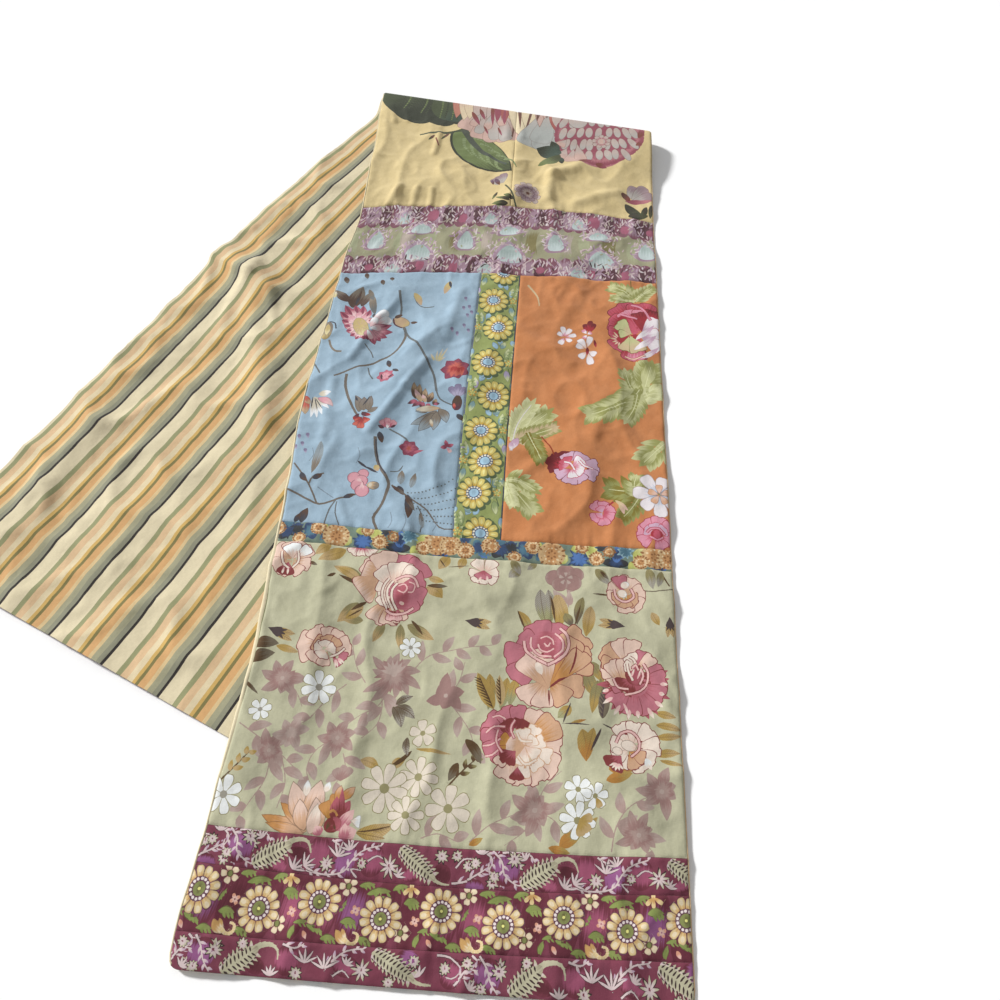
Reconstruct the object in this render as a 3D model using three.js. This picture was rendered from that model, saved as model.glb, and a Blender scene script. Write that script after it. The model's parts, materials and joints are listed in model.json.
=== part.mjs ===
// Patchwork table runner with a striped lining, lying folded over on itself.
// Millimetres, +Z up. The near half lies patchwork up, its hem toward -Y. At the far end the cloth
// turns under along a slanting fold, so the far half lies beneath it, lining up, fanned out to -X.
// "Across" and "along" are places on the runner before it was folded, from the left end of the
// near hem.

import * as THREE from "three";

// Driving dimensions
const width = 356;
const length = 1829;
const thickness = 1;
const gap = 0.3;
const turn = THREE.MathUtils.degToRad(23.5);
const foldAtLeft = 1030;
const rollLeft = 3.2;
const rollRight = 9;
const settleLeft = 60;
const settleRight = 120;
const cornerCut = 2.4;
const liningShowsLeft = 3;
const liningShowsRight = 1;

// The near left corner of the cloth, measured from the middle of the whole footprint
const nearCorner = new THREE.Vector2(-20.1, -514.3);

// Patchwork from the near hem to the far hem: how long each band is, the rows of facets in it,
// and its pieces from left to right. Pieces that aren't the full width meet at the seams below.
const bands = [
  { long: 24.2, rows: 1, pieces: ["near_paisley_edge"] },
  { long: 41.3, rows: 2, pieces: ["near_daisy_band"] },
  { long: 25.6, rows: 1, pieces: ["near_paisley_inner"] },
  { long: 238.2, rows: 8, pieces: ["near_rose_panel"] },
  { long: 20.7, rows: 1, pieces: ["near_trim_band"] },
  { long: 332.8, rows: 12, pieces: ["near_blue_panel", "near_daisy_strip", "near_orange_panel"] },
  { long: 113.9, rows: 4, pieces: ["near_scroll_band"] },
  { long: 265.3, rows: 0, pieces: ["yellow_left", "yellow_right"] },
  { long: 113.9, rows: 4, pieces: ["far_scroll_band"] },
  { long: 302.8, rows: 10, pieces: ["far_blue_panel", "far_daisy_strip", "far_orange_panel"] },
  { long: 20.7, rows: 1, pieces: ["far_trim_band"] },
  { long: 238.2, rows: 8, pieces: ["far_rose_panel"] },
  { long: 25.6, rows: 1, pieces: ["far_paisley_inner"] },
  { long: 41.3, rows: 2, pieces: ["far_daisy_band"] },
  { long: 24.5, rows: 1, pieces: ["far_paisley_edge"] },
];

// Seams that run along the cloth, by how many pieces a band has
const lengthwiseSeams = { 1: [], 2: [183.4], 3: [158.4, 203] };

// The block at the fold: rows before the turn, round it, and after it
const foldRows = { before: 6, round: 10, after: 3 };

// Facet columns between the left edge, the lengthwise seams and the right edge
const columns = [
  { from: liningShowsLeft, to: 158.4, steps: 5 },
  { from: 158.4, to: 183.4, steps: 1 },
  { from: 183.4, to: 203, steps: 1 },
  { from: 203, to: width - liningShowsRight, steps: 5 },
];

// How far the near half lies off true: its left edge sideways, and its cross lines along the
// cloth at the left edge, the middle and the right edge
const drift = [
  { along: 0, side: -3, left: 1, middle: 0, right: 0 },
  { along: 24, side: -3.5, left: 0, middle: -1, right: 4 },
  { along: 66, side: -1.5, left: 3, middle: -2, right: 4 },
  { along: 91, side: 0, left: 3, middle: -1.5, right: 2.5 },
  { along: 210, side: 4, left: 4, middle: -1, right: 0 },
  { along: 340, side: 0, left: 5, middle: -1, right: -2 },
  { along: 490, side: -6, left: 2, middle: 1, right: 1 },
  { along: 683, side: 0, left: -4, middle: 5, right: 4 },
  { along: 797, side: 7.5, left: -6, middle: 6, right: -6 },
  { along: 900, side: 4, left: -2, middle: 2, right: -2 },
  { along: 1000, side: 0, left: 0, middle: 0, right: 0 },
];

// How far the left edge of the far half is drawn in, by distance from the fold
const tuck = [
  { past: 0, by: 0 },
  { past: 50, by: 14 },
  { past: 117, by: 8.5 },
  { past: 190, by: 1.5 },
  { past: 275, by: -2.5 },
  { past: 400, by: -3 },
  { past: 480, by: 0 },
];

// Soft ridges that stand up from the cloth, each between two places on it
const ridges = [
  { across: 186, along: 815, toAcross: 184, toAlong: 960, height: 6, breadth: 20 },
  { across: 236, along: 870, toAcross: 330, toAlong: 902, height: 5, breadth: 24 },
  { across: 40, along: 820, toAcross: 110, toAlong: 850, height: 3, breadth: 22 },
  { across: 118, along: 600, toAcross: 66, toAlong: 440, height: 4, breadth: 17 },
  { across: 28, along: 560, toAcross: 60, toAlong: 640, height: 3, breadth: 18 },
  { across: 270, along: 400, toAcross: 300, toAlong: 560, height: 3.5, breadth: 22 },
  { across: 40, along: 300, toAcross: 190, toAlong: 296, height: 3, breadth: 18 },
  { across: 320, along: 120, toAcross: 270, toAlong: 190, height: 3.5, breadth: 18 },
  { across: 10, along: 1385, toAcross: 90, toAlong: 1410, height: 7, breadth: 17 },
  { across: 50, along: 1395, toAcross: 190, toAlong: 1560, height: 5, breadth: 18 },
  { across: 40, along: 1640, toAcross: 60, toAlong: 1800, height: 4, breadth: 18 },
];

// A far ridge has died out where the near half lies over it
const ridgeFullAt = -85;
const ridgeGoneAt = -52;

// The near half stays up past the far half's edges by this much, then comes down to the table
const overhang = 36;
const comeDown = 40;

const halfTurn = turn / 2;
const foldAxis = new THREE.Vector2(Math.cos(halfTurn), -Math.sin(halfTurn));
const foldAway = new THREE.Vector2(Math.sin(halfTurn), Math.cos(halfTurn));
const middleHeight = thickness + gap / 2;
const layerRise = 2 * thickness + 2 * gap;

function mix(a, b, t) {
  return a + (b - a) * t;
}

function ease(t) {
  const held = THREE.MathUtils.clamp(t, 0, 1);
  return held * held * (3 - 2 * held);
}

// A column of a table at a place along it, easing from row to row
function readTable(table, place, key, column) {
  if (place <= table[0][key]) {
    return table[0][column];
  }
  for (let i = 1; i < table.length; i += 1) {
    const before = table[i - 1];
    const after = table[i];
    if (place <= after[key]) {
      const t = ease((place - before[key]) / (after[key] - before[key]));
      return mix(before[column], after[column], t);
    }
  }
  return table[table.length - 1][column];
}

function rollRadius(across) {
  return mix(rollLeft, rollRight, across / width);
}

function ridgeHeight(across, along) {
  let height = 0;
  for (const ridge of ridges) {
    const stepAcross = ridge.toAcross - ridge.across;
    const stepAlong = ridge.toAlong - ridge.along;
    const reach = stepAcross ** 2 + stepAlong ** 2;
    const along01 = ((across - ridge.across) * stepAcross + (along - ridge.along) * stepAlong) / reach;
    const t = THREE.MathUtils.clamp(along01, 0, 1);
    const offAcross = across - ridge.across - stepAcross * t;
    const offAlong = along - ridge.along - stepAlong * t;
    const distance = Math.hypot(offAcross, offAlong);
    height += ridge.height * Math.exp(-((distance / ridge.breadth) ** 2));
  }
  return height;
}

// How far a place on the table is covered by the far half, 1 under it and 0 well clear of it
function covered(x, y) {
  const across = x * Math.cos(turn) - (y - foldAtLeft) * Math.sin(turn);
  const along = foldAtLeft - x * Math.sin(turn) - (y - foldAtLeft) * Math.cos(turn);
  const outside = Math.max(across - width, along - length);
  return 1 - ease((outside - overhang) / comeDown);
}

function layNearHalf(across, along, beforeFold) {
  const side = readTable(drift, along, "along", "side");
  const left = readTable(drift, along, "along", "left");
  const middle = readTable(drift, along, "along", "middle");
  const right = readTable(drift, along, "along", "right");
  const t = across / width;
  const settled = ease(beforeFold / mix(settleLeft, settleRight, t));
  const bow = left * (1 - t) * (1 - 2 * t) + middle * 4 * t * (1 - t) + right * t * (2 * t - 1);
  const x = across + side * (1 - t) ** 2 * settled;
  const y = along + bow * settled;

  const resting = middleHeight + layerRise * covered(x, y) + ridgeHeight(across, along);
  const overRoll = middleHeight + 2 * rollRadius(across);
  return new THREE.Vector3(x, y, mix(overRoll, resting, settled));
}

function layFarHalf(across, along, onFold, pastFold) {
  const drawnIn = readTable(tuck, along - foldAtLeft, "past", "by") * (1 - across / width) ** 2;
  const x = foldAxis.x * onFold - foldAway.x * pastFold + drawnIn * Math.cos(turn);
  const y = foldAtLeft + foldAxis.y * onFold - foldAway.y * pastFold - drawnIn * Math.sin(turn);
  const shows = ease((x - ridgeGoneAt) / (ridgeFullAt - ridgeGoneAt));
  return new THREE.Vector3(x, y, middleHeight + shows * ridgeHeight(across, along));
}

// The middle of the cloth's thickness, in space, for a place on the unfolded runner
function lay(across, along) {
  const onFold = across * foldAxis.x + (along - foldAtLeft) * foldAxis.y;
  const pastFold = across * foldAway.x + (along - foldAtLeft) * foldAway.y;
  const radius = rollRadius(across);
  const halfArc = (Math.PI / 2) * radius;

  if (pastFold <= -halfArc) {
    return layNearHalf(across, along, -halfArc - pastFold);
  }
  if (pastFold >= halfArc) {
    return layFarHalf(across, along, onFold, pastFold);
  }
  const angle = (pastFold + halfArc) / radius;
  const out = radius * Math.sin(angle) - halfArc;
  return new THREE.Vector3(
    foldAxis.x * onFold + foldAway.x * out,
    foldAtLeft + foldAxis.y * onFold + foldAway.y * out,
    middleHeight + radius * (1 + Math.cos(angle)),
  );
}

// The side of the cloth that the patchwork is on: up on the near half, down on the far half
function patchworkSide(across, along) {
  const step = 0.5;
  const alongStep = lay(across, along + step).sub(lay(across, along - step));
  const acrossStep = lay(across + step, along).sub(lay(across - step, along));
  return acrossStep.cross(alongStep).normalize();
}

// A closed sheet over a grid of places, between two distances from the middle of the cloth
function sheetSolid(places, lower, upper) {
  const rows = places.length;
  const steps = places[0].length;
  const positions = [];
  for (const offset of [upper, lower]) {
    for (const row of places) {
      for (const place of row) {
        const point = lay(place.across, place.along);
        point.addScaledVector(patchworkSide(place.across, place.along), offset);
        positions.push(point.x + nearCorner.x, point.y + nearCorner.y, point.z);
      }
    }
  }

  const index = [];
  const under = rows * steps;
  const quad = (a, b, c, d) => index.push(a, b, c, a, c, d);
  for (let row = 0; row < rows - 1; row += 1) {
    for (let step = 0; step < steps - 1; step += 1) {
      const a = row * steps + step;
      quad(a, a + 1, a + steps + 1, a + steps);
      quad(a + under, a + steps + under, a + steps + 1 + under, a + 1 + under);
    }
    const left = row * steps;
    const right = left + steps - 1;
    quad(left + under, left, left + steps, left + steps + under);
    quad(right, right + under, right + steps + under, right + steps);
  }
  const lastRow = (rows - 1) * steps;
  for (let step = 0; step < steps - 1; step += 1) {
    quad(step, step + under, step + 1 + under, step + 1);
    const far = lastRow + step;
    quad(far, far + 1, far + 1 + under, far + under);
  }

  const geometry = new THREE.BufferGeometry();
  geometry.setAttribute("position", new THREE.Float32BufferAttribute(positions, 3));
  geometry.setIndex(index);
  geometry.computeVertexNormals();
  return geometry;
}

// Evenly spaced cross lines from one line to another, without the first; each line is straight
// on the unfolded cloth, from its place at the left edge to its place at the right edge
function rowsBetween(from, to, steps) {
  const lines = [];
  for (let i = 1; i <= steps; i += 1) {
    const t = i / steps;
    lines.push({ left: mix(from.left, to.left, t), right: mix(from.right, to.right, t) });
  }
  return lines;
}

function straightLine(along) {
  return { left: along, right: along };
}

// A line beside the fold, where the cloth starts or stops turning
function foldLine(side) {
  const past = (radius) => (side * (Math.PI / 2) * radius) / Math.cos(halfTurn);
  const foldAtRight = foldAtLeft - width * Math.tan(halfTurn);
  return { left: foldAtLeft + past(rollLeft), right: foldAtRight + past(rollRight) };
}

// The cross lines of one band, from its near seam to its far seam
function bandLines(band, start) {
  const near = straightLine(start);
  const far = straightLine(start + band.long);
  if (band.rows > 0) {
    return [near, ...rowsBetween(near, far, band.rows)];
  }
  const turnStarts = foldLine(-1);
  const turnEnds = foldLine(1);
  return [
    near,
    ...rowsBetween(near, turnStarts, foldRows.before),
    ...rowsBetween(turnStarts, turnEnds, foldRows.round),
    ...rowsBetween(turnEnds, far, foldRows.after),
  ];
}

function columnPlaces() {
  const places = [columns[0].from];
  for (const { from, to, steps } of columns) {
    for (let i = 1; i <= steps; i += 1) {
      places.push(mix(from, to, i / steps));
    }
  }
  return places;
}

// Places on the cloth where cross lines meet columns
function gridPlaces(lines, acrossPlaces) {
  return lines.map(({ left, right }) =>
    acrossPlaces.map((across) => ({ across, along: mix(left, right, across / width) })),
  );
}

// Blunts the corners of the cloth where the first or last row of a sheet is at a hem
function bluntCorners(places) {
  for (const row of [places[0], places[places.length - 1]]) {
    const [left, right] = [row[0], row[row.length - 1]];
    const inward = left.along < length / 2 ? cornerCut : -cornerCut;
    if (left.along <= gap || left.along >= length - gap) {
      left.across += cornerCut;
      left.along += inward;
      right.across -= cornerCut;
      right.along += inward;
    }
  }
}

function cloth(color, roughness) {
  return new THREE.MeshStandardMaterial({ color, roughness, metalness: 0 });
}

const materials = {
  paisley: cloth(0x7a4358, 0.85),
  daisy_band: cloth(0x6d3046, 0.85),
  rose_panel: cloth(0xa9a685, 0.8),
  trim_band: cloth(0x5f7f8c, 0.9),
  blue_panel: cloth(0xa9c8de, 0.8),
  daisy_strip: cloth(0x9aa352, 0.85),
  orange_panel: cloth(0xcc8050, 0.8),
  scroll_band: cloth(0x96687a, 0.85),
  yellow: cloth(0xdcc38a, 0.6),
  lining: cloth(0xe0cda2, 0.7),
};

function materialOf(name) {
  const key = Object.keys(materials).find((cloths) => name.includes(cloths));
  return materials[key];
}

function namedMesh(name, places, lower, upper) {
  const mesh = new THREE.Mesh(sheetSolid(places, lower, upper), materialOf(name));
  mesh.name = name;
  return mesh;
}

// One piece of the patchwork, its edges kept half a gap from the seams
function patch(name, lines, acrossPlaces, fromEdge, toEdge) {
  const inside = acrossPlaces.filter((across) => across >= fromEdge && across <= toEdge);
  const places = gridPlaces(lines, inside);
  for (const row of places) {
    row[0].across += gap / 2;
    row[row.length - 1].across -= gap / 2;
  }
  for (const place of places[0]) {
    place.along += gap / 2;
  }
  for (const place of places[places.length - 1]) {
    place.along -= gap / 2;
  }
  bluntCorners(places);
  return namedMesh(name, places, gap / 2, gap / 2 + thickness);
}

function patchwork() {
  const acrossPlaces = columnPlaces();
  const leftEdge = acrossPlaces[0];
  const rightEdge = acrossPlaces[acrossPlaces.length - 1];
  const meshes = [];
  let start = 0;
  for (const band of bands) {
    const lines = bandLines(band, start);
    const edges = [leftEdge, ...lengthwiseSeams[band.pieces.length], rightEdge];
    band.pieces.forEach((name, i) => {
      meshes.push(patch(name, lines, acrossPlaces, edges[i], edges[i + 1]));
    });
    start += band.long;
  }
  return meshes;
}

// The lining is one piece, a little wider than the patchwork where it rolls out at the edges
function lining() {
  const lines = [straightLine(0)];
  let start = 0;
  for (const band of bands) {
    lines.push(...bandLines(band, start).slice(1));
    start += band.long;
  }
  const places = gridPlaces(lines, [0, ...columnPlaces(), width]);
  bluntCorners(places);
  return namedMesh("lining", places, -gap / 2 - thickness, -gap / 2);
}

const runner = new THREE.Group();
runner.add(...patchwork(), lining());

export default runner;
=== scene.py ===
import json
import math
import random

import bmesh
import bpy
import numpy as np
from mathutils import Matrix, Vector, noise


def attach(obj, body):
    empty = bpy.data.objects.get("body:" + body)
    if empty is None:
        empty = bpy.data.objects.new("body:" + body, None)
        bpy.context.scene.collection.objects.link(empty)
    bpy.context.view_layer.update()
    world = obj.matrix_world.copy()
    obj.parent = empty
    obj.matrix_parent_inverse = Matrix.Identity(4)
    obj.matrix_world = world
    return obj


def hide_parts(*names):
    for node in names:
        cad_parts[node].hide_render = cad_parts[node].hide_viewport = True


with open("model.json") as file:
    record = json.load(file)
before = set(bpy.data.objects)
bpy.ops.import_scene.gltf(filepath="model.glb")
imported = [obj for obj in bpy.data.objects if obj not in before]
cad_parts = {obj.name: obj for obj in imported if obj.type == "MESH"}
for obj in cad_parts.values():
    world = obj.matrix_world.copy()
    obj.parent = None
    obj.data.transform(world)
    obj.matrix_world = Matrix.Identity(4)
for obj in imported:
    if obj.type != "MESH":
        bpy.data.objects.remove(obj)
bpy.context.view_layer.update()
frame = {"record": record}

mm = 0.001

# The cloth as it was cut and as it lies, in millimetres. "Across" and "along" are places on the
# unfolded runner, measured from the left end of the near hem.
cloth = {"width": 356.0, "length": 1829.0, "turn": math.radians(23.5), "foldAtLeft": 1030.0, "rollLeft": 3.2,
    "rollRight": 9.0, "settleLeft": 60.0, "settleRight": 120.0, "middleHeight": 1.15, "layerRise": 2.6,
    "overhang": 8.0, "comeDown": 30.0, "ridgeFullAt": -45.0, "ridgeGoneAt": -12.0,
    "nearCorner": (-20.1, -514.3), "crumple": 1.3, "pucker": 0.8, "wrinkle": 2.8, "ridge": 1.15,
    "crease": 2.2, "allowance": 0.22, "seamGap": 0.06, "cornerRadius": 9.0}

# Seams across the cloth, from the near hem to the far hem
seams = {"edge": 24.2, "daisy": 65.5, "inner": 91.1, "rose": 329.3, "trim": 350.0, "garden": 682.8,
    "scroll": 796.7, "yellow": 1062.0, "farScroll": 1175.9, "farGarden": 1478.7, "farTrim": 1499.4,
    "farRose": 1737.6, "farInner": 1763.2, "farDaisy": 1804.5}
stripLeft, stripRight, yellowSeam = 158.4, 203.0, 183.4

# How far the near half lies off true
drift = {"along": (0, 24, 66, 91, 210, 340, 490, 683, 797, 900, 1000),
    "side": (-3, -3.5, -1.5, 0, 4, 0, -6, 0, 7.5, 4, 0), "left": (1, 0, 3, 3, 4, 5, 2, -4, -6, -2, 0),
    "middle": (0, -1, -2, -1.5, -1, -1, 1, 5, 6, 2, 0), "right": (0, 4, 4, 2.5, 0, -2, 1, 4, -6, -2, 0)}

# How far the left edge of the far half is drawn in, by distance from the fold, and how deep into the
# cloth that reaches
tuck = {"past": (0, 50, 117, 190, 275, 400, 480), "by": (0, 14, 8.5, 1.5, -2.5, -3, 0), "reach": 60}

# How much of the lining rolls out past the patchwork at the left edge
liningRoll = {"along": (0, 91, 190, 265, 350, 520, 1000), "shows": (1.2, 1.6, 3.4, 4.2, 2.4, 1.4, 1.2)}

# Broad ridges that stand up from the cloth: across, along, to across, to along, height, breadth
ridges = [(186, 815, 184, 960, 6, 20), (236, 870, 330, 902, 5, 24), (40, 820, 110, 850, 3, 22),
    (118, 600, 66, 440, 4, 17), (28, 560, 60, 640, 3, 18), (270, 400, 300, 560, 3.5, 22),
    (40, 300, 190, 296, 3, 18), (320, 120, 270, 190, 3.5, 18), (10, 1385, 90, 1410, 7, 17),
    (50, 1395, 190, 1560, 5, 18), (40, 1640, 60, 1800, 4, 18)]

# Narrow creases on top of them, in the same order
creases = [(98, 515, 114, 552, 1.1, 4), (70, 458, 98, 515, 1.0, 4), (27, 440, 25, 520, 0.8, 5),
    (37, 550, 58, 610, 0.9, 4), (130, 585, 138, 650, 0.9, 6), (62, 352, 50, 380, 0.7, 4),
    (100, 372, 118, 352, 0.7, 5), (262, 560, 205, 600, 1.0, 8), (276, 680, 240, 590, 0.9, 9),
    (240, 440, 215, 420, 0.8, 6), (285, 470, 300, 500, 0.9, 6), (80, 900, 84, 940, 1.2, 3.5),
    (22, 965, 16, 1000, 1.0, 3.5), (40, 968, 36, 990, 0.9, 3.5), (228, 815, 232, 858, 1.8, 7),
    (232, 858, 262, 874, 1.6, 7), (262, 812, 312, 838, 1.4, 7), (330, 890, 345, 930, 1.3, 6),
    (182, 925, 180, 1005, -1.6, 4), (172, 930, 172, 1000, 1.4, 4), (192, 930, 190, 990, 1.4, 4),
    (32, 800, 44, 832, 1.0, 4), (62, 800, 66, 828, 0.9, 4), (84, 798, 84, 826, 1.1, 3.5),
    (6, 285, 60, 262, 0.8, 7), (205, 262, 186, 300, 0.7, 6), (330, 240, 352, 190, 0.9, 6),
    (0, 1398, 54, 1404, 1.4, 5), (88, 1412, 120, 1450, 1.2, 6), (28, 1290, 30, 1345, 1.2, 5)]

# Noise in the lie of the cloth: its scale along and across, and its seed
unevenness = {"swell": (62, 44, 0.3), "wrinkle": (74, 52, 5.2), "finer": (27, 24, 9.4),
    "small": (13, 10, 7.7), "gather": (90, 4.5, 3.1)}

# How wrinkles rise from that noise: their sharpness and power, the share of the finer ones, and what
# the small unevenness and the plain cloth add
wrinkles = {"sharp": 2.6, "finerSharp": 2.4, "power": 1.5, "finer": 0.3, "small": 0.25, "plain": 0.6}

# Beside a seam: the reach of the gathers, the breadth of the turned allowance, and its two slopes
besideSeam = {"gathers": 9, "allowance": 6.5, "outerSlope": 1.5, "innerSlope": 0.8}

# Lines of the grid beside a seam and beside the hem, by distance from it
seamLines, hemLines = (0.35, 0.9, 2.0), (0, 0.4, 1.0, 1.8)
foldStep = 0.9


def ease(t):
    t = np.clip(t, 0.0, 1.0)
    return t * t * (3.0 - 2.0 * t)


def readTable(table, place, key, column):
    places, values = np.array(table[key], float), np.array(table[column], float)
    i = np.clip(np.searchsorted(places, place, side="right") - 1, 0, len(places) - 2)
    t = ease((place - places[i]) / (places[i + 1] - places[i]))
    return values[i] + (values[i + 1] - values[i]) * t


def ridgeHeight(table, across, along):
    height = np.zeros_like(across)
    for fromAcross, fromAlong, toAcross, toAlong, tall, breadth in table:
        stepAcross, stepAlong = toAcross - fromAcross, toAlong - fromAlong
        offAcross, offAlong = across - fromAcross, along - fromAlong
        reach = stepAcross ** 2 + stepAlong ** 2
        t = np.clip((offAcross * stepAcross + offAlong * stepAlong) / reach, 0.0, 1.0)
        distance = np.hypot(offAcross - stepAcross * t, offAlong - stepAlong * t)
        height += tall * np.exp(-((distance / breadth) ** 2))
    return height


def noiseField(across, along, alongScale, acrossScale, seed):
    places = zip((across / acrossScale).ravel(), (along / alongScale).ravel())
    heights = [noise.noise(Vector((a, b, seed))) for a, b in places]
    return np.array(heights).reshape(across.shape)


def seamPucker(across, along):
    # small gathers that run off both sides of the seams, and the turned allowance beside them
    nearest = np.full_like(across, np.inf)
    for seam in seams.values():
        nearest = np.where(np.abs(along - seam) < np.abs(nearest), along - seam, nearest)
    gathers = noiseField(across, along, *unevenness["gather"])
    gathers = gathers * np.exp(-np.abs(nearest) / besideSeam["gathers"])
    allowance = ease((nearest + besideSeam["allowance"]) / besideSeam["outerSlope"])
    allowance = allowance * (1 - ease(nearest / besideSeam["innerSlope"]))
    return cloth["pucker"] * gathers + cloth["allowance"] * allowance


def covered(x, y):
    turn, foldAtLeft = cloth["turn"], cloth["foldAtLeft"]
    across = x * math.cos(turn) - (y - foldAtLeft) * math.sin(turn)
    along = foldAtLeft - x * math.sin(turn) - (y - foldAtLeft) * math.cos(turn)
    outside = np.maximum(across - cloth["width"], along - cloth["length"])
    return 1.0 - ease((outside - cloth["overhang"]) / cloth["comeDown"])


def relief(across, along):
    # broad swells, then sharp wrinkles where two slopes meet, then small unevenness
    swell, wrinkle, finer, small = (noiseField(across, along, *unevenness[kind])
        for kind in ("swell", "wrinkle", "finer", "small"))

    def crests(field, sharpness):
        return np.clip(1 - sharpness * np.abs(field), 0, 1) ** wrinkles["power"]

    sharp = crests(wrinkle, wrinkles["sharp"]) + wrinkles["finer"] * crests(finer, wrinkles["finerSharp"])
    height = ridgeHeight(ridges, across, along) * cloth["ridge"]
    height += ridgeHeight(creases, across, along) * cloth["crease"]
    crumple = wrinkles["plain"] + swell + wrinkles["small"] * small
    height += cloth["crumple"] * crumple + cloth["wrinkle"] * sharp
    return np.maximum(height + seamPucker(across, along), 0.0)


def lay(across, along):
    # the middle of the cloth's thickness, for arrays of places on the unfolded runner
    half = cloth["turn"] / 2
    axisX, axisY = math.cos(half), -math.sin(half)
    awayX, awayY = math.sin(half), math.cos(half)
    foldAtLeft, middle = cloth["foldAtLeft"], cloth["middleHeight"]
    onFold = across * axisX + (along - foldAtLeft) * axisY
    pastFold = across * awayX + (along - foldAtLeft) * awayY
    t = across / cloth["width"]
    radius = cloth["rollLeft"] + (cloth["rollRight"] - cloth["rollLeft"]) * t
    halfArc = math.pi / 2 * radius
    uneven = relief(across, along)

    # near half
    settle = cloth["settleLeft"] + (cloth["settleRight"] - cloth["settleLeft"]) * t
    settled = ease((-halfArc - pastFold) / settle)
    side, left, centre, right = (readTable(drift, along, "along", edge)
        for edge in ("side", "left", "middle", "right"))
    bow = left * (1 - t) * (1 - 2 * t) + centre * 4 * t * (1 - t) + right * t * (2 * t - 1)
    nearX = across + side * (1 - t) ** 2 * settled
    nearY = along + bow * settled
    resting = middle + cloth["layerRise"] * covered(nearX, nearY) + uneven
    nearZ = middle + 2 * radius + (resting - middle - 2 * radius) * settled

    # far half
    drawnIn = readTable(tuck, along - foldAtLeft, "past", "by") * np.exp(-((across / tuck["reach"]) ** 2))
    farX = axisX * onFold - awayX * pastFold + drawnIn * math.cos(cloth["turn"])
    farY = foldAtLeft + axisY * onFold - awayY * pastFold - drawnIn * math.sin(cloth["turn"])
    shows = ease((farX - cloth["ridgeGoneAt"]) / (cloth["ridgeFullAt"] - cloth["ridgeGoneAt"]))
    farZ = middle + shows * uneven

    # the roll between them
    angle = (pastFold + halfArc) / radius
    out = radius * np.sin(angle) - halfArc
    rollX = axisX * onFold + awayX * out
    rollY = foldAtLeft + axisY * onFold + awayY * out
    rollZ = middle + radius * (1 + np.cos(angle))

    near, far = pastFold <= -halfArc, pastFold >= halfArc
    x = np.where(near, nearX, np.where(far, farX, rollX)) + cloth["nearCorner"][0]
    y = np.where(near, nearY, np.where(far, farY, rollY)) + cloth["nearCorner"][1]
    z = np.where(near, nearZ, np.where(far, farZ, rollZ))
    return np.stack([x, y, z], -1) * mm


def steps(start, end, step):
    count = max(1, round((end - start) / step))
    return list(np.linspace(start, end, count + 1))


def edged(start, end, step):
    # evenly spaced, with closer lines beside both ends for the turned-in seam
    first, second, inside = seamLines
    return [start, start + first, start + second, *steps(start + inside, end - inside, step),
        end - second, end - first, end]


def straight(places):
    return [(place, place) for place in places]


def slanted(fromLine, toLine, step):
    # cross lines that swing from one slope to another, without the first
    longest = max(abs(toLine[0] - fromLine[0]), abs(toLine[1] - fromLine[1]))
    count = max(1, round(longest / step))
    return [tuple(a + (b - a) * i / count for a, b in zip(fromLine, toLine)) for i in range(1, count + 1)]


def foldLine(side):
    half = cloth["turn"] / 2
    foldAtRight = cloth["foldAtLeft"] - cloth["width"] * math.tan(half)
    reach = side * math.pi / 2 / math.cos(half)
    return cloth["foldAtLeft"] + reach * cloth["rollLeft"], foldAtRight + reach * cloth["rollRight"]


def normalsOf(points):
    normal = np.cross(np.gradient(points, axis=1), np.gradient(points, axis=0))
    return normal / np.linalg.norm(normal, axis=2, keepdims=True)


def roundCorners(across, along):
    # the outer corners of the cloth follow a quarter circle; nothing else moves
    radius = cloth["cornerRadius"]
    for cornerU, cornerV in ((0, 0), (1, 0), (0, 1), (1, 1)):
        inU = across if not cornerU else cloth["width"] - across
        inV = along if not cornerV else cloth["length"] - along
        u, v = np.clip(1 - inU / radius, 0, 1), np.clip(1 - inV / radius, 0, 1)
        big, small = np.maximum(u, v), np.minimum(u, v)
        shrink = np.where(big > 0, np.sqrt(1 + (small / np.maximum(big, 1e-6)) ** 2), 1)
        moveU, moveV = radius * (u - u / shrink), radius * (v - v / shrink)
        across = across + (moveU if not cornerU else -moveU)
        along = along + (moveV if not cornerV else -moveV)
    return across, along


def meshFrom(bm, name):
    mesh = bpy.data.meshes.new(name)
    bm.to_mesh(mesh)
    bm.free()
    return mesh


def addObject(name, data):
    made = bpy.data.objects.new(name, data)
    bpy.context.collection.objects.link(made)
    return made


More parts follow.
